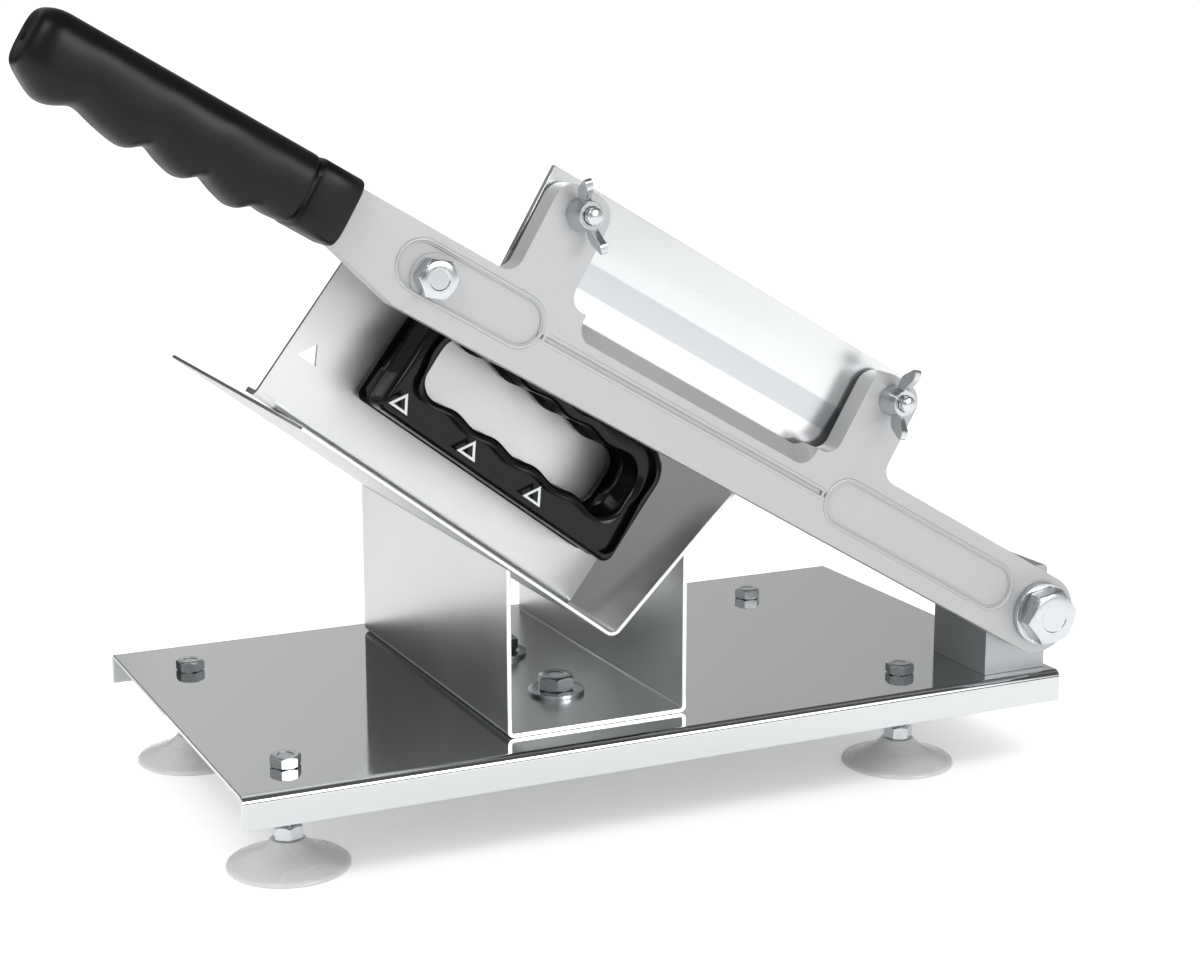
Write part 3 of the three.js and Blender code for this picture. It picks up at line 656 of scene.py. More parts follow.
def hex_bolt(name: str, place: Place, size: Metric, length: float, thread: float) -> bpy.types.Object:
    """A hex bolt whose head has a shallow round dish in its top, as a forged head has.

    Args:
        name: the piece's name.
        place: the frame that its head stands on, with the shank running down local Z.
        size: its size.
        length: its length under the head.
        thread: the length of its thread, at the tip.

    Returns:
        The object.
    """
    angle = angles(HEX_STEPS)
    dish = DISH_SHARE * FACE_SHARE * size.flats / 2
    head = hexagon_rows(size, size.head, angle)
    floor = size.head - DISH_DEPTH
    top = [ring_row(0, floor, angle), ring_row(dish - DISH_SLOPE, floor, angle),
           ring_row(dish, size.head, angle)]
    outer = (head[0][::-1], head[1][::-1])
    tip = [ring_row(size.shank - TIP_CHAMFER, -length, angle), ring_row(0, -length, angle)]
    cut = thread_rows(size, -length + TIP_CHAMFER, -length + thread, angle)
    shank = [ring_row(size.shank, 0, angle), ring_row(size.shank, -length + thread + RUN_OUT, angle)]
    radius, height = stack_rows(*top, outer, *shank, (cut[0][::-1], cut[1][::-1]), *tip)
    return lathe_grid(name, place, radius, height, False)


def rounded_ring(radius: float, bore: float, thick: float, edge: float) -> Array:
    """The closed profile of a washer with rounded edges, a quarter circle at each corner.

    Args:
        radius: outer radius.
        bore: inner radius.
        thick: thickness.
        edge: radius of the edges.

    Returns:
        Radius and height of each point.
    """
    turn = np.linspace(0, math.pi / 2, 4)
    corners = [(radius - edge, edge, -math.pi / 2), (radius - edge, thick - edge, 0),
               (bore + edge, thick - edge, math.pi / 2), (bore + edge, edge, math.pi)]
    return np.vstack([
        np.stack([x + edge * np.cos(start + turn), z + edge * np.sin(start + turn)], -1)
        for x, z, start in corners])


def washer(name: str, place: Place, radius: float, bore: float, thick: float) -> bpy.types.Object:
    """A pressed washer with rounded edges, on local Z 0."""
    return turned(name, place, rounded_ring(radius, bore, thick, WASHER_EDGE))


# Sub-assemblies

@dataclass
class SheetBase:
    """The mirror-polished base plate, and the finely polished U bracket and V trough."""

    bracket_left: float = 105.7
    bracket_right: float = 179.3
    bracket_front: float = 17.6
    sheet: float = 1.8
    bolt_from_front: float = 39
    bolt_spacing: float = 56
    bolt_turns: tuple[float, float] = (12, 37)
    play: float = 0.3
    tip: float = 2.5
    edge: float = 0.25

    def build(self) -> None:
        """Makes the sheets and the two bolts that hold the bracket."""
        sheets = (("base_plate", MIRROR_STEEL), ("bracket", SOFT_MIRROR_STEEL), ("tray", SOFT_MIRROR_STEEL))
        for node, finish in sheets:
            finish_piece(copy_of(node, f"{node}_sheet", self.edge), "base", finish)
        x = (self.bracket_left + self.bracket_right) / 2
        y = self.bracket_front + self.bolt_from_front
        for end, back, turn in zip(End, (0, self.bolt_spacing), self.bolt_turns):
            self.bolt(end.value, BASE.inside(x, y + back, self.sheet, turn_about("Z", turn)))

    def bolt(self, end: str, place: Place) -> None:
        """Makes one bolt with its washer above and its nut under the plate.

        Args:
            end: the name of the bracket's end that it is at.
            place: the frame on the bracket's floor.
        """
        plated(washer, f"bracket_washer_{end}", "base", place, M8.washer, M8.shank + self.play, M8.thick)
        length = M8.thick + 2 * self.sheet + M8.nut + self.tip
        head = place.inside(0, 0, M8.thick)
        plated(hex_bolt, f"bracket_bolt_{end}", "base", head, M8, length, length - M8.thick)
        under = place.inside(0, 0, -2 * self.sheet - M8.nut)
        plated(hex_nut, f"bracket_nut_{end}", "base", under, M8)


@dataclass
class Feet:
    """Four screw feet: a clear suction cup, a bolt whose head stands on the plate, and two nuts each."""

    cup_bottom: float = -37.5
    cup_top: float = -27
    cup_radius: float = 22.5
    neck_radius: float = 6.6
    hollow: float = 6.5
    embed: float = 5
    sheet: float = 1.8
    turn: float = 17
    nut_turn: float = 23
    play: float = 0.3
    plain_shank: float = 1

    def build(self) -> None:
        """Makes the four feet."""
        for i, side in enumerate(Side):
            for j, end in enumerate(End):
                label = f"{end.value}_{side.value}"
                centre = middle(f"cup_nut_{label}")
                place = Place.at(centre.x, centre.y, PLATE_HIGH.z)
                self.foot(label, place, (i + 2 * j) * self.turn)

    def foot(self, label: str, place: Place, turn: float) -> None:
        """Makes one foot.

        Args:
            label: the name of the corner that it is at.
            place: the frame on the plate's top.
            turn: how far its bolt is turned, in degrees.
        """
        cup = turned(f"suction_cup_{label}_moulded", place, self.cup_profile(), 96, 40)
        finish_piece(cup, "base", CLEAR_PVC, f"suction_cup_{label}")
        length = self.embed - self.play - self.cup_top
        thread = length - self.sheet - self.plain_shank
        head = place.inside(0, 0, 0, turn_about("Z", turn))
        plated(hex_bolt, f"foot_bolt_{label}", "base", head, M6, length, thread)
        levels = (("cup_nut", self.cup_top), ("plate_nut", -self.sheet - M6.nut))
        for k, (kind, level) in enumerate(levels, 1):
            nut_turn = turn_about("Z", turn + k * self.nut_turn)
            plated(hex_nut, f"{kind}_{label}", "base", place.inside(0, 0, level, nut_turn), M6)

    def cup_profile(self) -> Array:
        """The cup's skin: hollow underneath, a thin rounded lip, a flared skirt and a neck with a bore.

        Returns:
            Radius and height of each point.
        """
        drop = self.cup_top - self.cup_bottom
        low = self.cup_bottom
        under = smooth_profile([(0, low + self.hollow), (self.neck_radius, low + self.hollow - 0.1),
                                (0.62 * self.cup_radius, low + 0.6 * self.hollow),
                                (0.85 * self.cup_radius, low + 0.26 * self.hollow),
                                (self.cup_radius - 1.4, low)], 8)
        lip = smooth_profile([(self.cup_radius - 0.6, low), (self.cup_radius, low + 0.6),
                              (self.cup_radius - 0.4, low + 1.5)], 4)
        skirt = smooth_profile([(self.cup_radius - 0.9, low + 1.9),
                                (0.72 * self.cup_radius, low + 0.38 * drop),
                                (0.48 * self.cup_radius, low + 0.62 * drop),
                                (self.neck_radius + 1.1, self.cup_top - 1.6),
                                (self.neck_radius, self.cup_top - 0.4)], 8)
        bore = M6.shank + self.play
        neck = np.array([(self.neck_radius - 0.4, self.cup_top), (bore, self.cup_top),
                         (bore, self.cup_top - self.embed), (0, self.cup_top - self.embed)])
        return np.vstack([under, lip, skirt, neck])


@dataclass
class Pivot:
    """The block at the end of the base and the bolt that the lever turns on."""

    arm_front: float = -4
    thickness: float = 10
    play: float = 0.3
    block_length: float = 36.7
    thrust_radius: float = 11
    thrust: float = 1
    block_mid: float = 322.75
    screw_from_front: float = 9
    screw_depth: float = 18
    sheet: float = 1.8
    tip: float = 2
    rounding: float = 0.7
    head_turn: float = 8
    thread: float = 24

    def build(self) -> None:
        """Makes the block, its screws and everything on the pivot bolt."""
        block = copy_of("pivot_block", "pivot_block_satin", self.rounding, 3)
        finish_piece(block, "base", BLOCK_ALUMINIUM)
        front = self.arm_front + self.thickness + self.play + self.thrust
        back = front + self.block_length
        axis = Place.at(HINGE[0], PLATE_LOW.y, HINGE[2], TO_FRONT)
        bore = M12.shank + self.play
        washer_at = -self.arm_front + self.play
        head_at = washer_at + M12.thick
        nut_at = -back - M12.thick - M12.nut
        rings = (("pivot_washer_front", M12.washer, M12.thick, washer_at),
                 ("thrust_washer", self.thrust_radius, self.thrust, -front),
                 ("pivot_washer_rear", M12.washer, M12.thick, -back - M12.thick))
        for node, radius, thick, at in rings:
            plated(washer, node, "base", axis.inside(0, 0, at), radius, bore, thick)
        plated(hex_nut, "pivot_nut", "base", axis.inside(0, 0, nut_at), M12)
        head = axis.inside(0, 0, head_at, turn_about("Z", self.head_turn))
        plated(hex_bolt, "pivot_bolt", "base", head, M12, head_at - nut_at + self.tip, self.thread)
        depth = self.screw_depth
        for end, y in zip(End, (front + self.screw_from_front, back - self.screw_from_front)):
            place = BASE.inside(self.block_mid, y, -self.sheet, turn_about("X", 180))
            plated(hex_bolt, f"block_screw_{end.value}", "base", place, M6, self.sheet + depth, depth)


@dataclass
class Arm:
    """The cast lever with its posts, the beads round its pockets and groove, and its left pocket's bolt."""

    front: float = -4
    thickness: float = 10
    bolt_along: float = 293.4
    bolt_up: float = -1.5
    bolt_turn: float = 20
    plain_shank: float = 1
    play: float = 0.3
    rounding: float = 0.8
    right_pocket: tuple[float, float] = (18, 113)
    left_pocket: tuple[float, float] = (250, 307)
    pocket_low: float = -8
    pocket_high: float = 7.9
    groove: tuple[float, float] = (116, 247)
    groove_up: float = -1
    groove_half: float = 0.9
    bead_gap: float = 1.1
    bead_half: float = 0.65
    bead_high: float = 0.5
    bead_step: float = 0.01

    def build(self) -> None:
        """Makes the casting, its beads and the pocket's bolt."""
        finish_piece(copy_of("arm", "arm_casting", self.rounding, 3), "lever", SILVER_CAST)
        low, high, gap = self.pocket_low, self.pocket_high, self.bead_gap
        radius = (high - low) / 2 + gap
        for label, (near, far) in (("right", self.right_pocket), ("left", self.left_pocket)):
            box = (near - gap, far + gap, low - gap, high + gap)
            self.bead(f"arm_bead_{label}", self.bead_high, box, radius)
        near, far = self.groove
        reach = self.groove_half + self.bead_half
        box = (near, far, self.groove_up - reach, self.groove_up + reach)
        self.bead("arm_bead_groove", self.bead_high / 2, box, reach / 2)
        place = LEVER.inside(-self.bolt_along, 0, self.bolt_up, TO_FRONT)
        head = place.inside(0, 0, -self.front + self.play, turn_about("Z", self.bolt_turn))
        thread = self.thickness - self.plain_shank
        plated(hex_bolt, "pocket_bolt", "lever", head, M8, self.thickness, thread)

    def bead(self, name: str, high: float, box: tuple[float, float, float, float], radius: float) -> None:
        """Casts a raised bead round a rounded rectangle on the front: a half ellipse carried along the loop.

        Args:
            name: the piece's name.
            high: how far the bead stands out.
            box: lowest and highest place along the lever and up it.
            radius: the rectangle's corner radius.
        """
        loop = rounded_loop(-box[1], -box[0], box[2], box[3], (radius,) * 4, 60, 14)
        # Where two corners meet in a half circle, the side between them has no length
        loop = loop[np.linalg.norm(np.roll(loop, -1, 0) - loop, axis=1) > self.bead_step]
        ahead = np.roll(loop, -1, 0) - np.roll(loop, 1, 0)
        ahead /= np.linalg.norm(ahead, axis=1)[:, None]
        outward = np.stack([ahead[:, 1], -ahead[:, 0]], -1)
        turn = np.linspace(0, math.pi, 7)
        across = np.concatenate([self.bead_half * np.cos(turn), [-self.bead_half, self.bead_half]])
        out = np.concatenate([high * np.sin(turn), [-high, -high]])
        flat = loop[:, None] + outward[:, None] * across[None, :, None]
        points = np.stack([flat[..., 0], self.front - out[None] + 0 * flat[..., 0], flat[..., 1]], -1)
        piece = make_object(name, LEVER.points(points.reshape(-1, 3)),
                            grid_faces(len(loop), len(across), True, True), 50)
        finish_piece(piece, "lever", SILVER_CAST)


@dataclass
class Grip:
    """The moulded grip: a rounded bar with four finger waves, a collar groove and a hole in its end."""

    start: float = 331.5
    end: float = 446.5
    top: float = 15
    low: float = 9.8
    wave: float = 3.6
    lean: float = 0.4
    first_bump: float = 366
    pitch: float = 20
    end_pitch: float = 28
    bumps: int = 4
    half_width: float = 14
    collar: float = 15.5
    groove_width: float = 1.4
    groove_depth: float = 0.9
    nose: float = 9
    hole: float = 1.8
    hole_depth: float = 6
    middle: float = 1
    play: float = 0.3
    power: float = 3
    collar_power: float = 5
    ring_steps: int = 80
    rim: float = 0.5

    def underside(self, at: Array) -> Array:
        """Depth below the lever's axis: waves that fade in after the collar and out at the nose.

        A wave is (1 + cos(a - k(1 - cos a))) / 2, which rises more steeply on the collar's side.

        Args:
            at: places along the lever.

        Returns:
            The height of the underside at each place.
        """
        start = self.start + self.collar + self.groove_width
        last_bay = self.first_bump + (self.bumps - 2) * self.pitch
        last = last_bay + self.end_pitch
        rise = np.clip((at - start) / (self.first_bump - start), 0, 1)
        fall = np.clip((at - last) / (self.end - last), 0, 1)
        fade = rise ** 2 * (3 - 2 * rise) * (1 - fall ** 2 * (3 - 2 * fall))
        phase = np.where(at < last_bay, (at - self.first_bump) / self.pitch, (at - last_bay) / self.end_pitch)
        angle = TURN * phase
        ripple = (1 + np.cos(angle - self.lean * (1 - np.cos(angle)))) / 2
        return -self.low - self.wave * fade * ripple * (at >= start)

    def stations(self) -> tuple[Array, Array, Array]:
        """Works out where the rings of the grip are.

        Returns:
            Places along the lever, how far each ring is drawn in, and its share of the full size.
        """
        first = self.start + self.play
        groove = self.start + self.collar
        soft = 0.25 * self.groove_width
        front = np.array([first, first, first + 0.35, first + 1.0, groove - 2 * soft, groove - soft, groove,
                          groove + self.groove_width, groove + self.groove_width + soft])
        inset = np.array([14, 1.0, 0.3, 0, 0, 0.12, self.groove_depth, self.groove_depth, 0.12])
        body = np.linspace(groove + self.groove_width + 2 * soft, self.end - self.nose, 110)
        turn = np.linspace(0, math.pi / 2, 18)[1:]
        nose = self.end - self.nose + self.nose * np.sin(turn)
        at = np.concatenate([front, body, nose])
        inset = np.concatenate([inset, 0 * body, 0 * nose])
        shrink = np.concatenate([0 * front + 1, 0 * body + 1, 0.62 + 0.38 * np.cos(turn)])
        return at, inset, shrink

    def build(self) -> None:
        """Makes the grip as rings of a rounded rectangle, |y|^p + |z|^p = 1, boxier along the collar."""
        at, inset, shrink = (values[:, None] for values in self.stations())
        angle = angles(self.ring_steps)
        bottom = self.underside(at) + inset
        high = self.top - inset
        height = (high - bottom) / 2 * shrink
        centre = (high + bottom) / 2
        cos, sin = np.cos(angle), np.sin(angle)
        share = 2 / np.where(at < self.start + self.collar + self.groove_width, self.collar_power, self.power)
        round_y = np.sign(cos) * np.abs(cos) ** share
        round_z = np.sign(sin) * np.abs(sin) ** share
        y = self.middle + np.maximum(self.half_width - inset, 0) * shrink * round_y
        z = centre + np.maximum(height, 0) * round_z
        body = np.stack([-at + 0 * angle, y, z], -1)
        hole_centre = float((self.top - self.low) / 2)
        floor = self.end - self.hole_depth
        along = np.array([self.end, self.end - self.rim, floor, floor])[:, None]
        radius = np.array([self.hole + 0.6, self.hole, self.hole, 0])[:, None]
        hole = np.stack([-along + 0 * angle, self.middle + radius * cos, hole_centre + radius * sin], -1)
        points = np.concatenate([body, hole])
        piece = make_object("grip_moulded", LEVER.points(points.reshape(-1, 3)),
                            grid_faces(len(points), self.ring_steps, False, True), 50)
        finish_piece(piece, "lever", BLACK_ABS, "grip")


@dataclass
class Blade:
    """The bevelled blade, its two countersunk bolts with spacers, and the wing nuts on the posts."""

    posts: tuple[float, float] = (107.5, 256.0)
    bolt_up: float = 42.5
    front: float = 8.2
    thickness: float = 3
    head_radius: float = 5.2
    head_depth: float = 2.3
    arm_front: float = -4
    hub: float = 8.5
    tip: float = 3
    play: float = 0.3
    plate_rounding: float = 0.12
    nut_rounding: float = 0.6
    bolt_steps: int = 48

    def build(self) -> None:
        """Makes the blade and what holds it."""
        plate = copy_of("blade", "blade_ground", self.plate_rounding, 1, 12)
        finish_piece(plate, "lever", BLADE_STEEL)
        angle = angles(self.bolt_steps)
        back = self.front + self.thickness
        tip_at = -self.arm_front + self.play + self.hub + self.tip
        for at, side in zip(self.posts, (Side.RIGHT, Side.LEFT)):
            label = side.value
            place = LEVER.inside(-at, 0, self.bolt_up, TO_FRONT)
            rows = stack_rows(ring_row(0, -back, angle), ring_row(self.head_radius, -back, angle),
                              ring_row(M6.shank, -back + self.head_depth, angle),
                              ring_row(M6.shank, -self.arm_front - 2, angle),
                              thread_rows(M6, -self.arm_front - 1, tip_at - TIP_CHAMFER, angle),
                              ring_row(M6.shank - TIP_CHAMFER, tip_at, angle), ring_row(0, tip_at, angle))
            plated(lathe_grid, f"blade_bolt_{label}", "lever", place, *rows, False, 50)
            spacer = place.inside(0, 0, -self.front + self.play)
            bore = M6.shank + self.play
            plated(washer, f"blade_spacer_{label}", "lever", spacer, M6.washer, bore, M6.thick)
            nut = copy_of(f"wing_nut_{label}", f"wing_nut_{label}_cast", self.nut_rounding, 3, 34)
            finish_piece(nut, f"wing_nut_{label}", ZINC)


def rounded_loop(left: float, right: float, low: float, high: float, radii: tuple[float, float, float, float],
                 side_steps: int, corner_steps: int) -> Array:
    """A rounded rectangle, counterclockwise from its lower left, with the same number of points in each part.

    Args:
        left: lowest x.
        right: highest x.
        low: lowest z.
        high: highest z.
        radii: corner radii, lower left, lower right, upper right and upper left.
        side_steps: points on each straight side.
        corner_steps: points on each corner.

    Returns:
        The loop's points, as x and z.
    """
    centres = [(left + radii[0], low + radii[0]), (right - radii[1], low + radii[1]),
               (right - radii[2], high - radii[2]), (left + radii[3], high - radii[3])]
    parts = []
    for k in range(4):
        start = math.pi + k * math.pi / 2
        turn = np.linspace(start, start + math.pi / 2, corner_steps)
        x, z = centres[k]
        corner = np.stack([x + radii[k] * np.cos(turn), z + radii[k] * np.sin(turn)], -1)
        x, z = centres[(k + 1) % 4]
        following = np.array([x + radii[(k + 1) % 4] * math.cos(start + math.pi / 2),
                              z + radii[(k + 1) % 4] * math.sin(start + math.pi / 2)])
        share = np.linspace(0, 1, side_steps + 2)[1:-1, None]
        parts += [corner, corner[-1] * (1 - share) + following * share]
    return np.vstack(parts)


@dataclass
class Pusher:
    """The punched plate that slides in the trough, with its D grip of two halves and the grip's screws."""

    vertex_x: float = 146
    vertex_z: float = 36.3
    tilt: float = 37
    width: float = 150
    sheet: float = 2
    from_vertex: float = 5
    play: float = 0.3
    handle_from: float = 30
    handle_width: float = 110
    handle_height: float = 47
    handle_up: float = 20
    half: float = 13.85
    leg: float = 9
    top_bar: float = 9.5
    low_bar: float = 13
    ripple: float = 1.6
    ripples: int = 4
    corner: float = 13
    inner: float = 8
    foot_corner: float = 3
    rounding: float = 3.4
    screw_up: float = 9
    screw_inset: float = 7.5
    screw_radius: float = 2
    head_radius: float = 3.8
    head_height: float = 2.4
    bite: float = 9
    mark_shares: tuple[float, float, float] = (0.055, 0.34, 0.625)
    mark_up: float = 25.5
    mark_reach: float = 5
    mark_width: float = 2.2
    mark_squash: float = 0.9
    edge: float = 0.2
    parting: float = 0.5

    @property
    def handle_left(self) -> float:
        """The grip's left end, from the trough's fold."""
        return -self.from_vertex - self.width + self.handle_from

    def place(self) -> Place:
        """Works out the carriage's frame.

        Returns:
            The frame, whose -X runs up the trough's left wall.
        """
        low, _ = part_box("pusher_plate")
        corner = BASE.points(np.array([self.vertex_x, 0, self.vertex_z]))
        return Place.at(corner[0], low.y, corner[2], turn_about("Y", self.tilt))

    def build(self) -> None:
        """Makes the plate, the two halves of the grip and its screws."""
        plate = copy_of("pusher_plate", "pusher_plate_punched", self.edge)
        finish_piece(plate, "pusher", SATIN_STEEL)
        place = self.place()
        rear = -self.play - self.half
        face = rear - self.play - self.half
        for end, low in ((End.REAR, rear), (End.FRONT, face)):
            piece = self.ring(f"pusher_handle_{end.value}_moulded", place, low, end is End.FRONT)
            finish_piece(piece, "pusher", GLOSS_ABS, f"pusher_handle_{end.value}")
        left = self.handle_left
        ends = (left + self.screw_inset, left + self.handle_width - self.screw_inset)
        for side, x in zip(Side, ends):
            self.screw(side, place.inside(x, 0, self.handle_up + self.screw_up, TO_FRONT))
        for number, share in enumerate(self.mark_shares, 1):
            self.mark(number, place.inside(left + share * self.handle_width, face, self.mark_up, TO_FRONT))

    def mark(self, number: int, place: Place) -> None:
        """Makes one pressed frame on the grip's lower bar: a closed section carried round a triangle.

        A point of the section is a share of the frame's width, inwards, and a height over the bar's face.

        Args:
            number: its number from the left.
            place: the frame on the bar's face.
        """
        corner = TURN * np.arange(3) / 3 + TURN / 4
        section = [(0, -0.3), (0, 0.25), (0.15, 0.35), (0.85, 0.35), (1, 0.25), (1, -0.3)]
        rings = [np.stack([(self.mark_reach - self.mark_width * inward) * np.cos(corner),
                           (self.mark_reach - self.mark_width * inward) * np.sin(corner) * self.mark_squash,
                           0 * corner + up], -1) for inward, up in section]
        points = np.stack(rings, 1).reshape(-1, 3)
        faces = grid_faces(len(corner), len(section), True, True)
        piece = make_object(f"handle_mark_{number}", place.points(points), faces, 20)
        finish_piece(piece, "pusher", ZINC)

    def screw(self, side: Side, place: Place) -> None:
        """Makes one screw: a domed head on the plate's back and a shank into the grip.

        Args:
            side: which of the two it is.
            place: the frame on the plate's front, along the screw.
        """
        low = -self.sheet - self.play - self.head_height
        turn = np.linspace(0, math.pi / 2, 8)[:, None]
        dome = np.hstack([self.head_radius * np.sin(turn), low + self.head_height * (1 - np.cos(turn))])
        tip = self.play + self.half + self.play + self.bite
        radius = self.screw_radius
        shank = np.array([(radius, low + self.head_height), (radius, tip - 0.8), (0, tip)])
        plated(turned, f"handle_screw_{side.value}", "pusher", place, np.vstack([dome, shank]), 40)

    def ring(self, name: str, place: Place, low: float, to_front: bool) -> bpy.types.Object:
        """One half of the grip: a section with rounded outer edges carried round the D.

        A point of the section is a distance from the nearer loop, towards the other one, and a depth.

        Args:
            name: the piece's name.
            place: the carriage's frame.
            low: where the half starts, along local Y.
            to_front: whether its rounded side faces the viewer.

        Returns:
            The object.
        """
        left, right = self.handle_left, self.handle_left + self.handle_width
        bottom, top = self.handle_up, self.handle_up + self.handle_height
        radii = (self.foot_corner, self.foot_corner, self.corner, self.corner)
        outer = rounded_loop(left, right, bottom, top, radii, 40, 12)
        inner = rounded_loop(left + self.leg, right - self.leg, bottom + self.low_bar, top - self.top_bar,
                             (self.inner,) * 4, 40, 12)
        share = np.clip((inner[:, 0] - left - self.leg - self.inner)
                        / (self.handle_width - 2 * self.leg - 2 * self.inner), 0, 1)
        wave = self.ripple * (1 - np.cos(TURN * self.ripples * share)) / 2
        inner[:, 1] += wave * ((inner[:, 1] < bottom + self.low_bar + 0.01) * 1.0
                               - (inner[:, 1] > top - self.top_bar - 0.01) * 1.0)
        section = self.section()
        depth = section[:, 1] if to_front else self.half - section[:, 1]
        across = np.linalg.norm(inner - outer, axis=1)[:, None]
        reach = np.minimum(section[None, :, 0], across / 2)
        reach = np.where(section[None, :, 2] > 0, across - reach, reach)
        way = (inner - outer) / across
        flat = outer[:, None] + way[:, None] * reach[..., None]
        points = np.stack([flat[..., 0], low + depth[None] + 0 * flat[..., 0], flat[..., 1]], -1)
        return make_object(name, place.points(points.reshape(-1, 3)),
                           grid_faces(len(outer), len(section), True, True), 40)

    def section(self) -> Array:
        """Works out the bar's section.

        Returns:
            Each point's distance from the nearer loop, its depth, and 1 if that is the inner loop, else 0.
        """
        r, groove = self.rounding, self.parting
        turn = np.linspace(0, math.pi / 2, 8)
        side = np.stack([r * (1 - np.sin(turn)), r * (1 - np.cos(turn)), 0 * turn], -1)[::-1]
        back = np.array([(0, self.half - groove, 0), (groove, self.half, 0)])
        outside = np.vstack([side, back])
        inside = outside[::-1].copy()
        inside[:, 2] = 1
        return np.vstack([outside, inside])


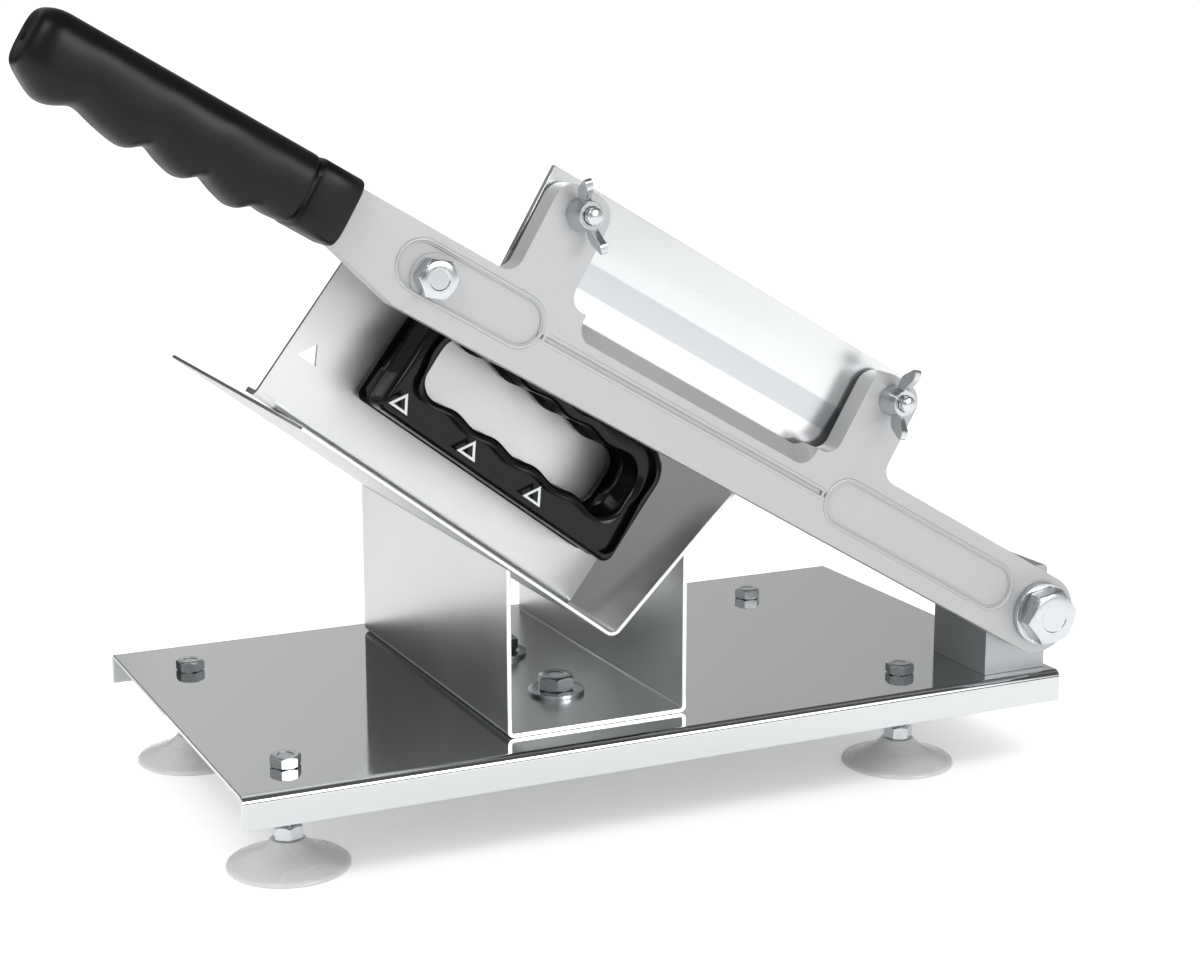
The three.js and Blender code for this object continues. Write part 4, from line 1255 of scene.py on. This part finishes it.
@dataclass
class Studio:
    """A pale floor, soft lights, cards for the polished sheets to mirror, and the photograph's camera."""

    position: tuple[float, float, float] = (-198.55, -702.73, 269.95)
    yaw: float = 25.37
    pitch: float = 12.59
    focal_pixels: float = 2241.45
    image_width: float = 1200
    sensor: float = 36

    def build(self) -> None:
        """Makes the camera, the floor, the lights and the world."""
        self.camera()
        self.floor()
        self.lights()
        self.world()
        bpy.context.scene.view_settings.view_transform = "Standard"

    def camera(self) -> None:
        """Places the camera that the photograph was taken with."""
        data = bpy.data.cameras.new("photograph_camera")
        data.sensor_width = self.sensor
        data.lens = self.sensor * self.focal_pixels / self.image_width
        data.clip_end = 50
        camera = link_object("photograph_camera", data)
        yaw, pitch = math.radians(self.yaw), math.radians(self.pitch)
        forward = Vector((math.sin(yaw) * math.cos(pitch), math.cos(yaw) * math.cos(pitch), -math.sin(pitch)))
        camera.location = Vector(BASE.points(np.array(self.position)))
        camera.rotation_euler = forward.to_track_quat("-Z", "Y").to_euler()
        bpy.context.scene.camera = camera

    def rectangle(self, name: str, finish: str, width: float,
                  height: float) -> tuple[bpy.types.Object, bpy.types.Material]:
        """Makes a flat piece of the studio.

        Args:
            name: its name.
            finish: its material's name.
            width: its size along X in metres.
            height: its size along Y in metres.

        Returns:
            The object and its new material.
        """
        x, y = width / 2, height / 2
        mesh = bpy.data.meshes.new(name)
        mesh.from_pydata([(-x, -y, 0), (x, -y, 0), (x, y, 0), (-x, y, 0)], [], [(0, 1, 2, 3)])
        piece = link_object(name, mesh)
        made = bpy.data.materials.new(finish)
        made.use_nodes = True
        mesh.materials.append(made)
        return piece, made

    def card(self, name: str, centre: tuple[float, float, float], size: tuple[float, float], facing: Vector,
             stops: Sequence[tuple[float, int]], way: Way = Way.WIDTH, strength: float = 1.0) -> None:
        """Makes a glowing card that only reflections see.

        Args:
            name: the card's name.
            centre: its middle in metres.
            size: its width and height in metres.
            facing: the way its front looks.
            stops: places from 0 to 1 along the way, and the sRGB colour at each.
            way: the direction that the places run along.
            strength: its brightness.
        """
        card, made = self.rectangle(name, name, *size)
        card.location = centre
        card.rotation_euler = facing.to_track_quat("Z", "Y").to_euler()
        for seen_by in ("camera", "diffuse", "shadow", "transmission"):
            setattr(card, f"visible_{seen_by}", False)
        tree = made.node_tree
        tree.nodes.clear()
        place = add_node(tree, "ShaderNodeTexCoord")
        parts = add_node(tree, "ShaderNodeSeparateXYZ", inputs={"Vector": place.outputs["Object"]})
        half = size[0 if way is Way.WIDTH else 1] / 2
        across = add_node(tree, "ShaderNodeMapRange", inputs={
            "Value": parts.outputs[way.value], "From Min": -half, "From Max": half})
        shade = add_node(tree, "ShaderNodeValToRGB", inputs={"Fac": across.outputs["Result"]})
        set_ramp(shade, [(at, linear(colour)) for at, colour in stops])
        glow = add_node(tree, "ShaderNodeEmission", inputs={
            "Color": shade.outputs["Color"], "Strength": strength})
        add_node(tree, "ShaderNodeOutputMaterial", inputs={"Surface": glow.outputs["Emission"]})

    def floor(self) -> None:
        """Makes the wide pale floor."""
        _, made = self.rectangle("studio_floor", "studio_floor_paper", 60, 60)
        shader = made.node_tree.nodes["Principled BSDF"]
        shader.inputs["Base Color"].default_value = linear(0xFCFCFC)
        shader.inputs["Roughness"].default_value = 0.9
        shader.inputs["Emission Color"].default_value = linear(0xFFFFFF)
        shader.inputs["Emission Strength"].default_value = 0.2

    def lights(self) -> None:
        """Makes a soft key from the upper left, a soft light from above and the cards.

        Each light has its place and its size in metres and its power in watts. Reflections see only the key.
        """
        lights = (("key", (-1.2, -1.0, 1.8), 0.9, 13), ("top", (0.2, 0.7, 2.2), 1.2, 9))
        for name, centre, size, power in lights:
            data = bpy.data.lights.new(f"{name}_light", "AREA")
            data.shape = "SQUARE"
            data.size = size
            data.energy = power
            lamp = link_object(f"{name}_light", data)
            lamp.location = centre
            lamp.visible_glossy = name == "key"
            lamp.rotation_euler = (Vector((0, 0, 0.1)) - Vector(centre)).to_track_quat("-Z", "Y").to_euler()
        self.card("card_behind", (0.2, 2.3, 0.4), (5.4, 1.2), Vector((0, -1, 0)),
                  [(0.0, 0x3A3A3A), (0.42, 0x464646), (0.54, 0xDCDCDC), (0.68, 0xCECECE), (1.0, 0xACACAC)])
        self.card("card_floor_behind", (-0.42, 0.6, 0.002), (1.5, 0.96), Vector((0, 0, 1)),
                  [(0.0, 0x606060), (0.25, 0x989898), (0.4, 0xE4E4E4), (0.6, 0xFFFFFF)], Way.HEIGHT)
        self.card("card_floor_front", (1.0, -4.2, 0.002), (8.0, 4.0), Vector((0, 0, 1)),
                  [(0.0, 0x0C0C0C), (0.8, 0x101010), (1.0, 0xB0B0B0)], Way.HEIGHT)
        self.card("card_front", (1.0, -6.2, 0.6), (8.0, 1.2), Vector((0, 1, 0)),
                  [(0.0, 0x0C0C0C), (0.7, 0x141414), (1.0, 0xC0C0C0)], Way.HEIGHT)
        self.card("card_soft_box", (1.0, -2.7, 1.1), (2.0, 1.3), Vector((-0.4, 0.87, -0.28)),
                  [(0.0, 0x606060), (0.5, 0xFFFFFF), (1.0, 0x606060)], Way.WIDTH, 8.5)

    def world(self) -> None:
        """Makes an even pale sky, in which reflections see soft grey panels and a darker ceiling."""
        world = bpy.data.worlds.new("studio_world")
        world.use_nodes = True
        tree = world.node_tree
        background = tree.nodes["Background"]
        background.inputs["Strength"].default_value = 1.02
        way = add_node(tree, "ShaderNodeTexCoord")
        parts = add_node(tree, "ShaderNodeSeparateXYZ", inputs={"Vector": way.outputs["Generated"]})
        height = add_node(tree, "ShaderNodeMapRange", inputs={"Value": parts.outputs["Z"], "From Min": -1.0})
        ceiling = add_node(tree, "ShaderNodeValToRGB", inputs={"Fac": height.outputs["Result"]})
        set_ramp(ceiling, [(0.5, linear(0xFFFFFF)), (0.58, linear(0xF4F4F4)), (0.7, linear(0xB4B4B4)),
                           (0.86, linear(0x808080)), (1.0, linear(0x9C9C9C))])
        around = add_node(tree, "ShaderNodeTexGradient", {"gradient_type": "RADIAL"},
                          {"Vector": way.outputs["Generated"]})
        panels = add_node(tree, "ShaderNodeValToRGB", inputs={"Fac": around.outputs["Fac"]})
        light, dark = linear(0xFFFFFF), linear(0x9A9A9A)
        set_ramp(panels, [(i / 8, dark if i % 2 else light) for i in range(9)])
        room = add_node(tree, "ShaderNodeMixRGB", {"blend_type": "MULTIPLY"}, {
            "Fac": 1.0, "Color1": ceiling.outputs["Color"], "Color2": panels.outputs["Color"]})
        path = add_node(tree, "ShaderNodeLightPath")
        seen = add_node(tree, "ShaderNodeMixRGB", inputs={
            "Fac": path.outputs["Is Glossy Ray"], "Color1": light, "Color2": room.outputs["Color"]})
        tree.links.new(seen.outputs["Color"], background.inputs["Color"])
        bpy.context.scene.world = world


def main() -> None:
    """Builds the studio and every sub-assembly."""
    logging.basicConfig(level=logging.INFO, format="%(name)s: %(message)s")
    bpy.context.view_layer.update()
    for assembly in (Studio(), SheetBase(), Feet(), Pivot(), Arm(), Grip(), Blade(), Pusher()):
        assembly.build()


if __name__ == "__main__":
    main()
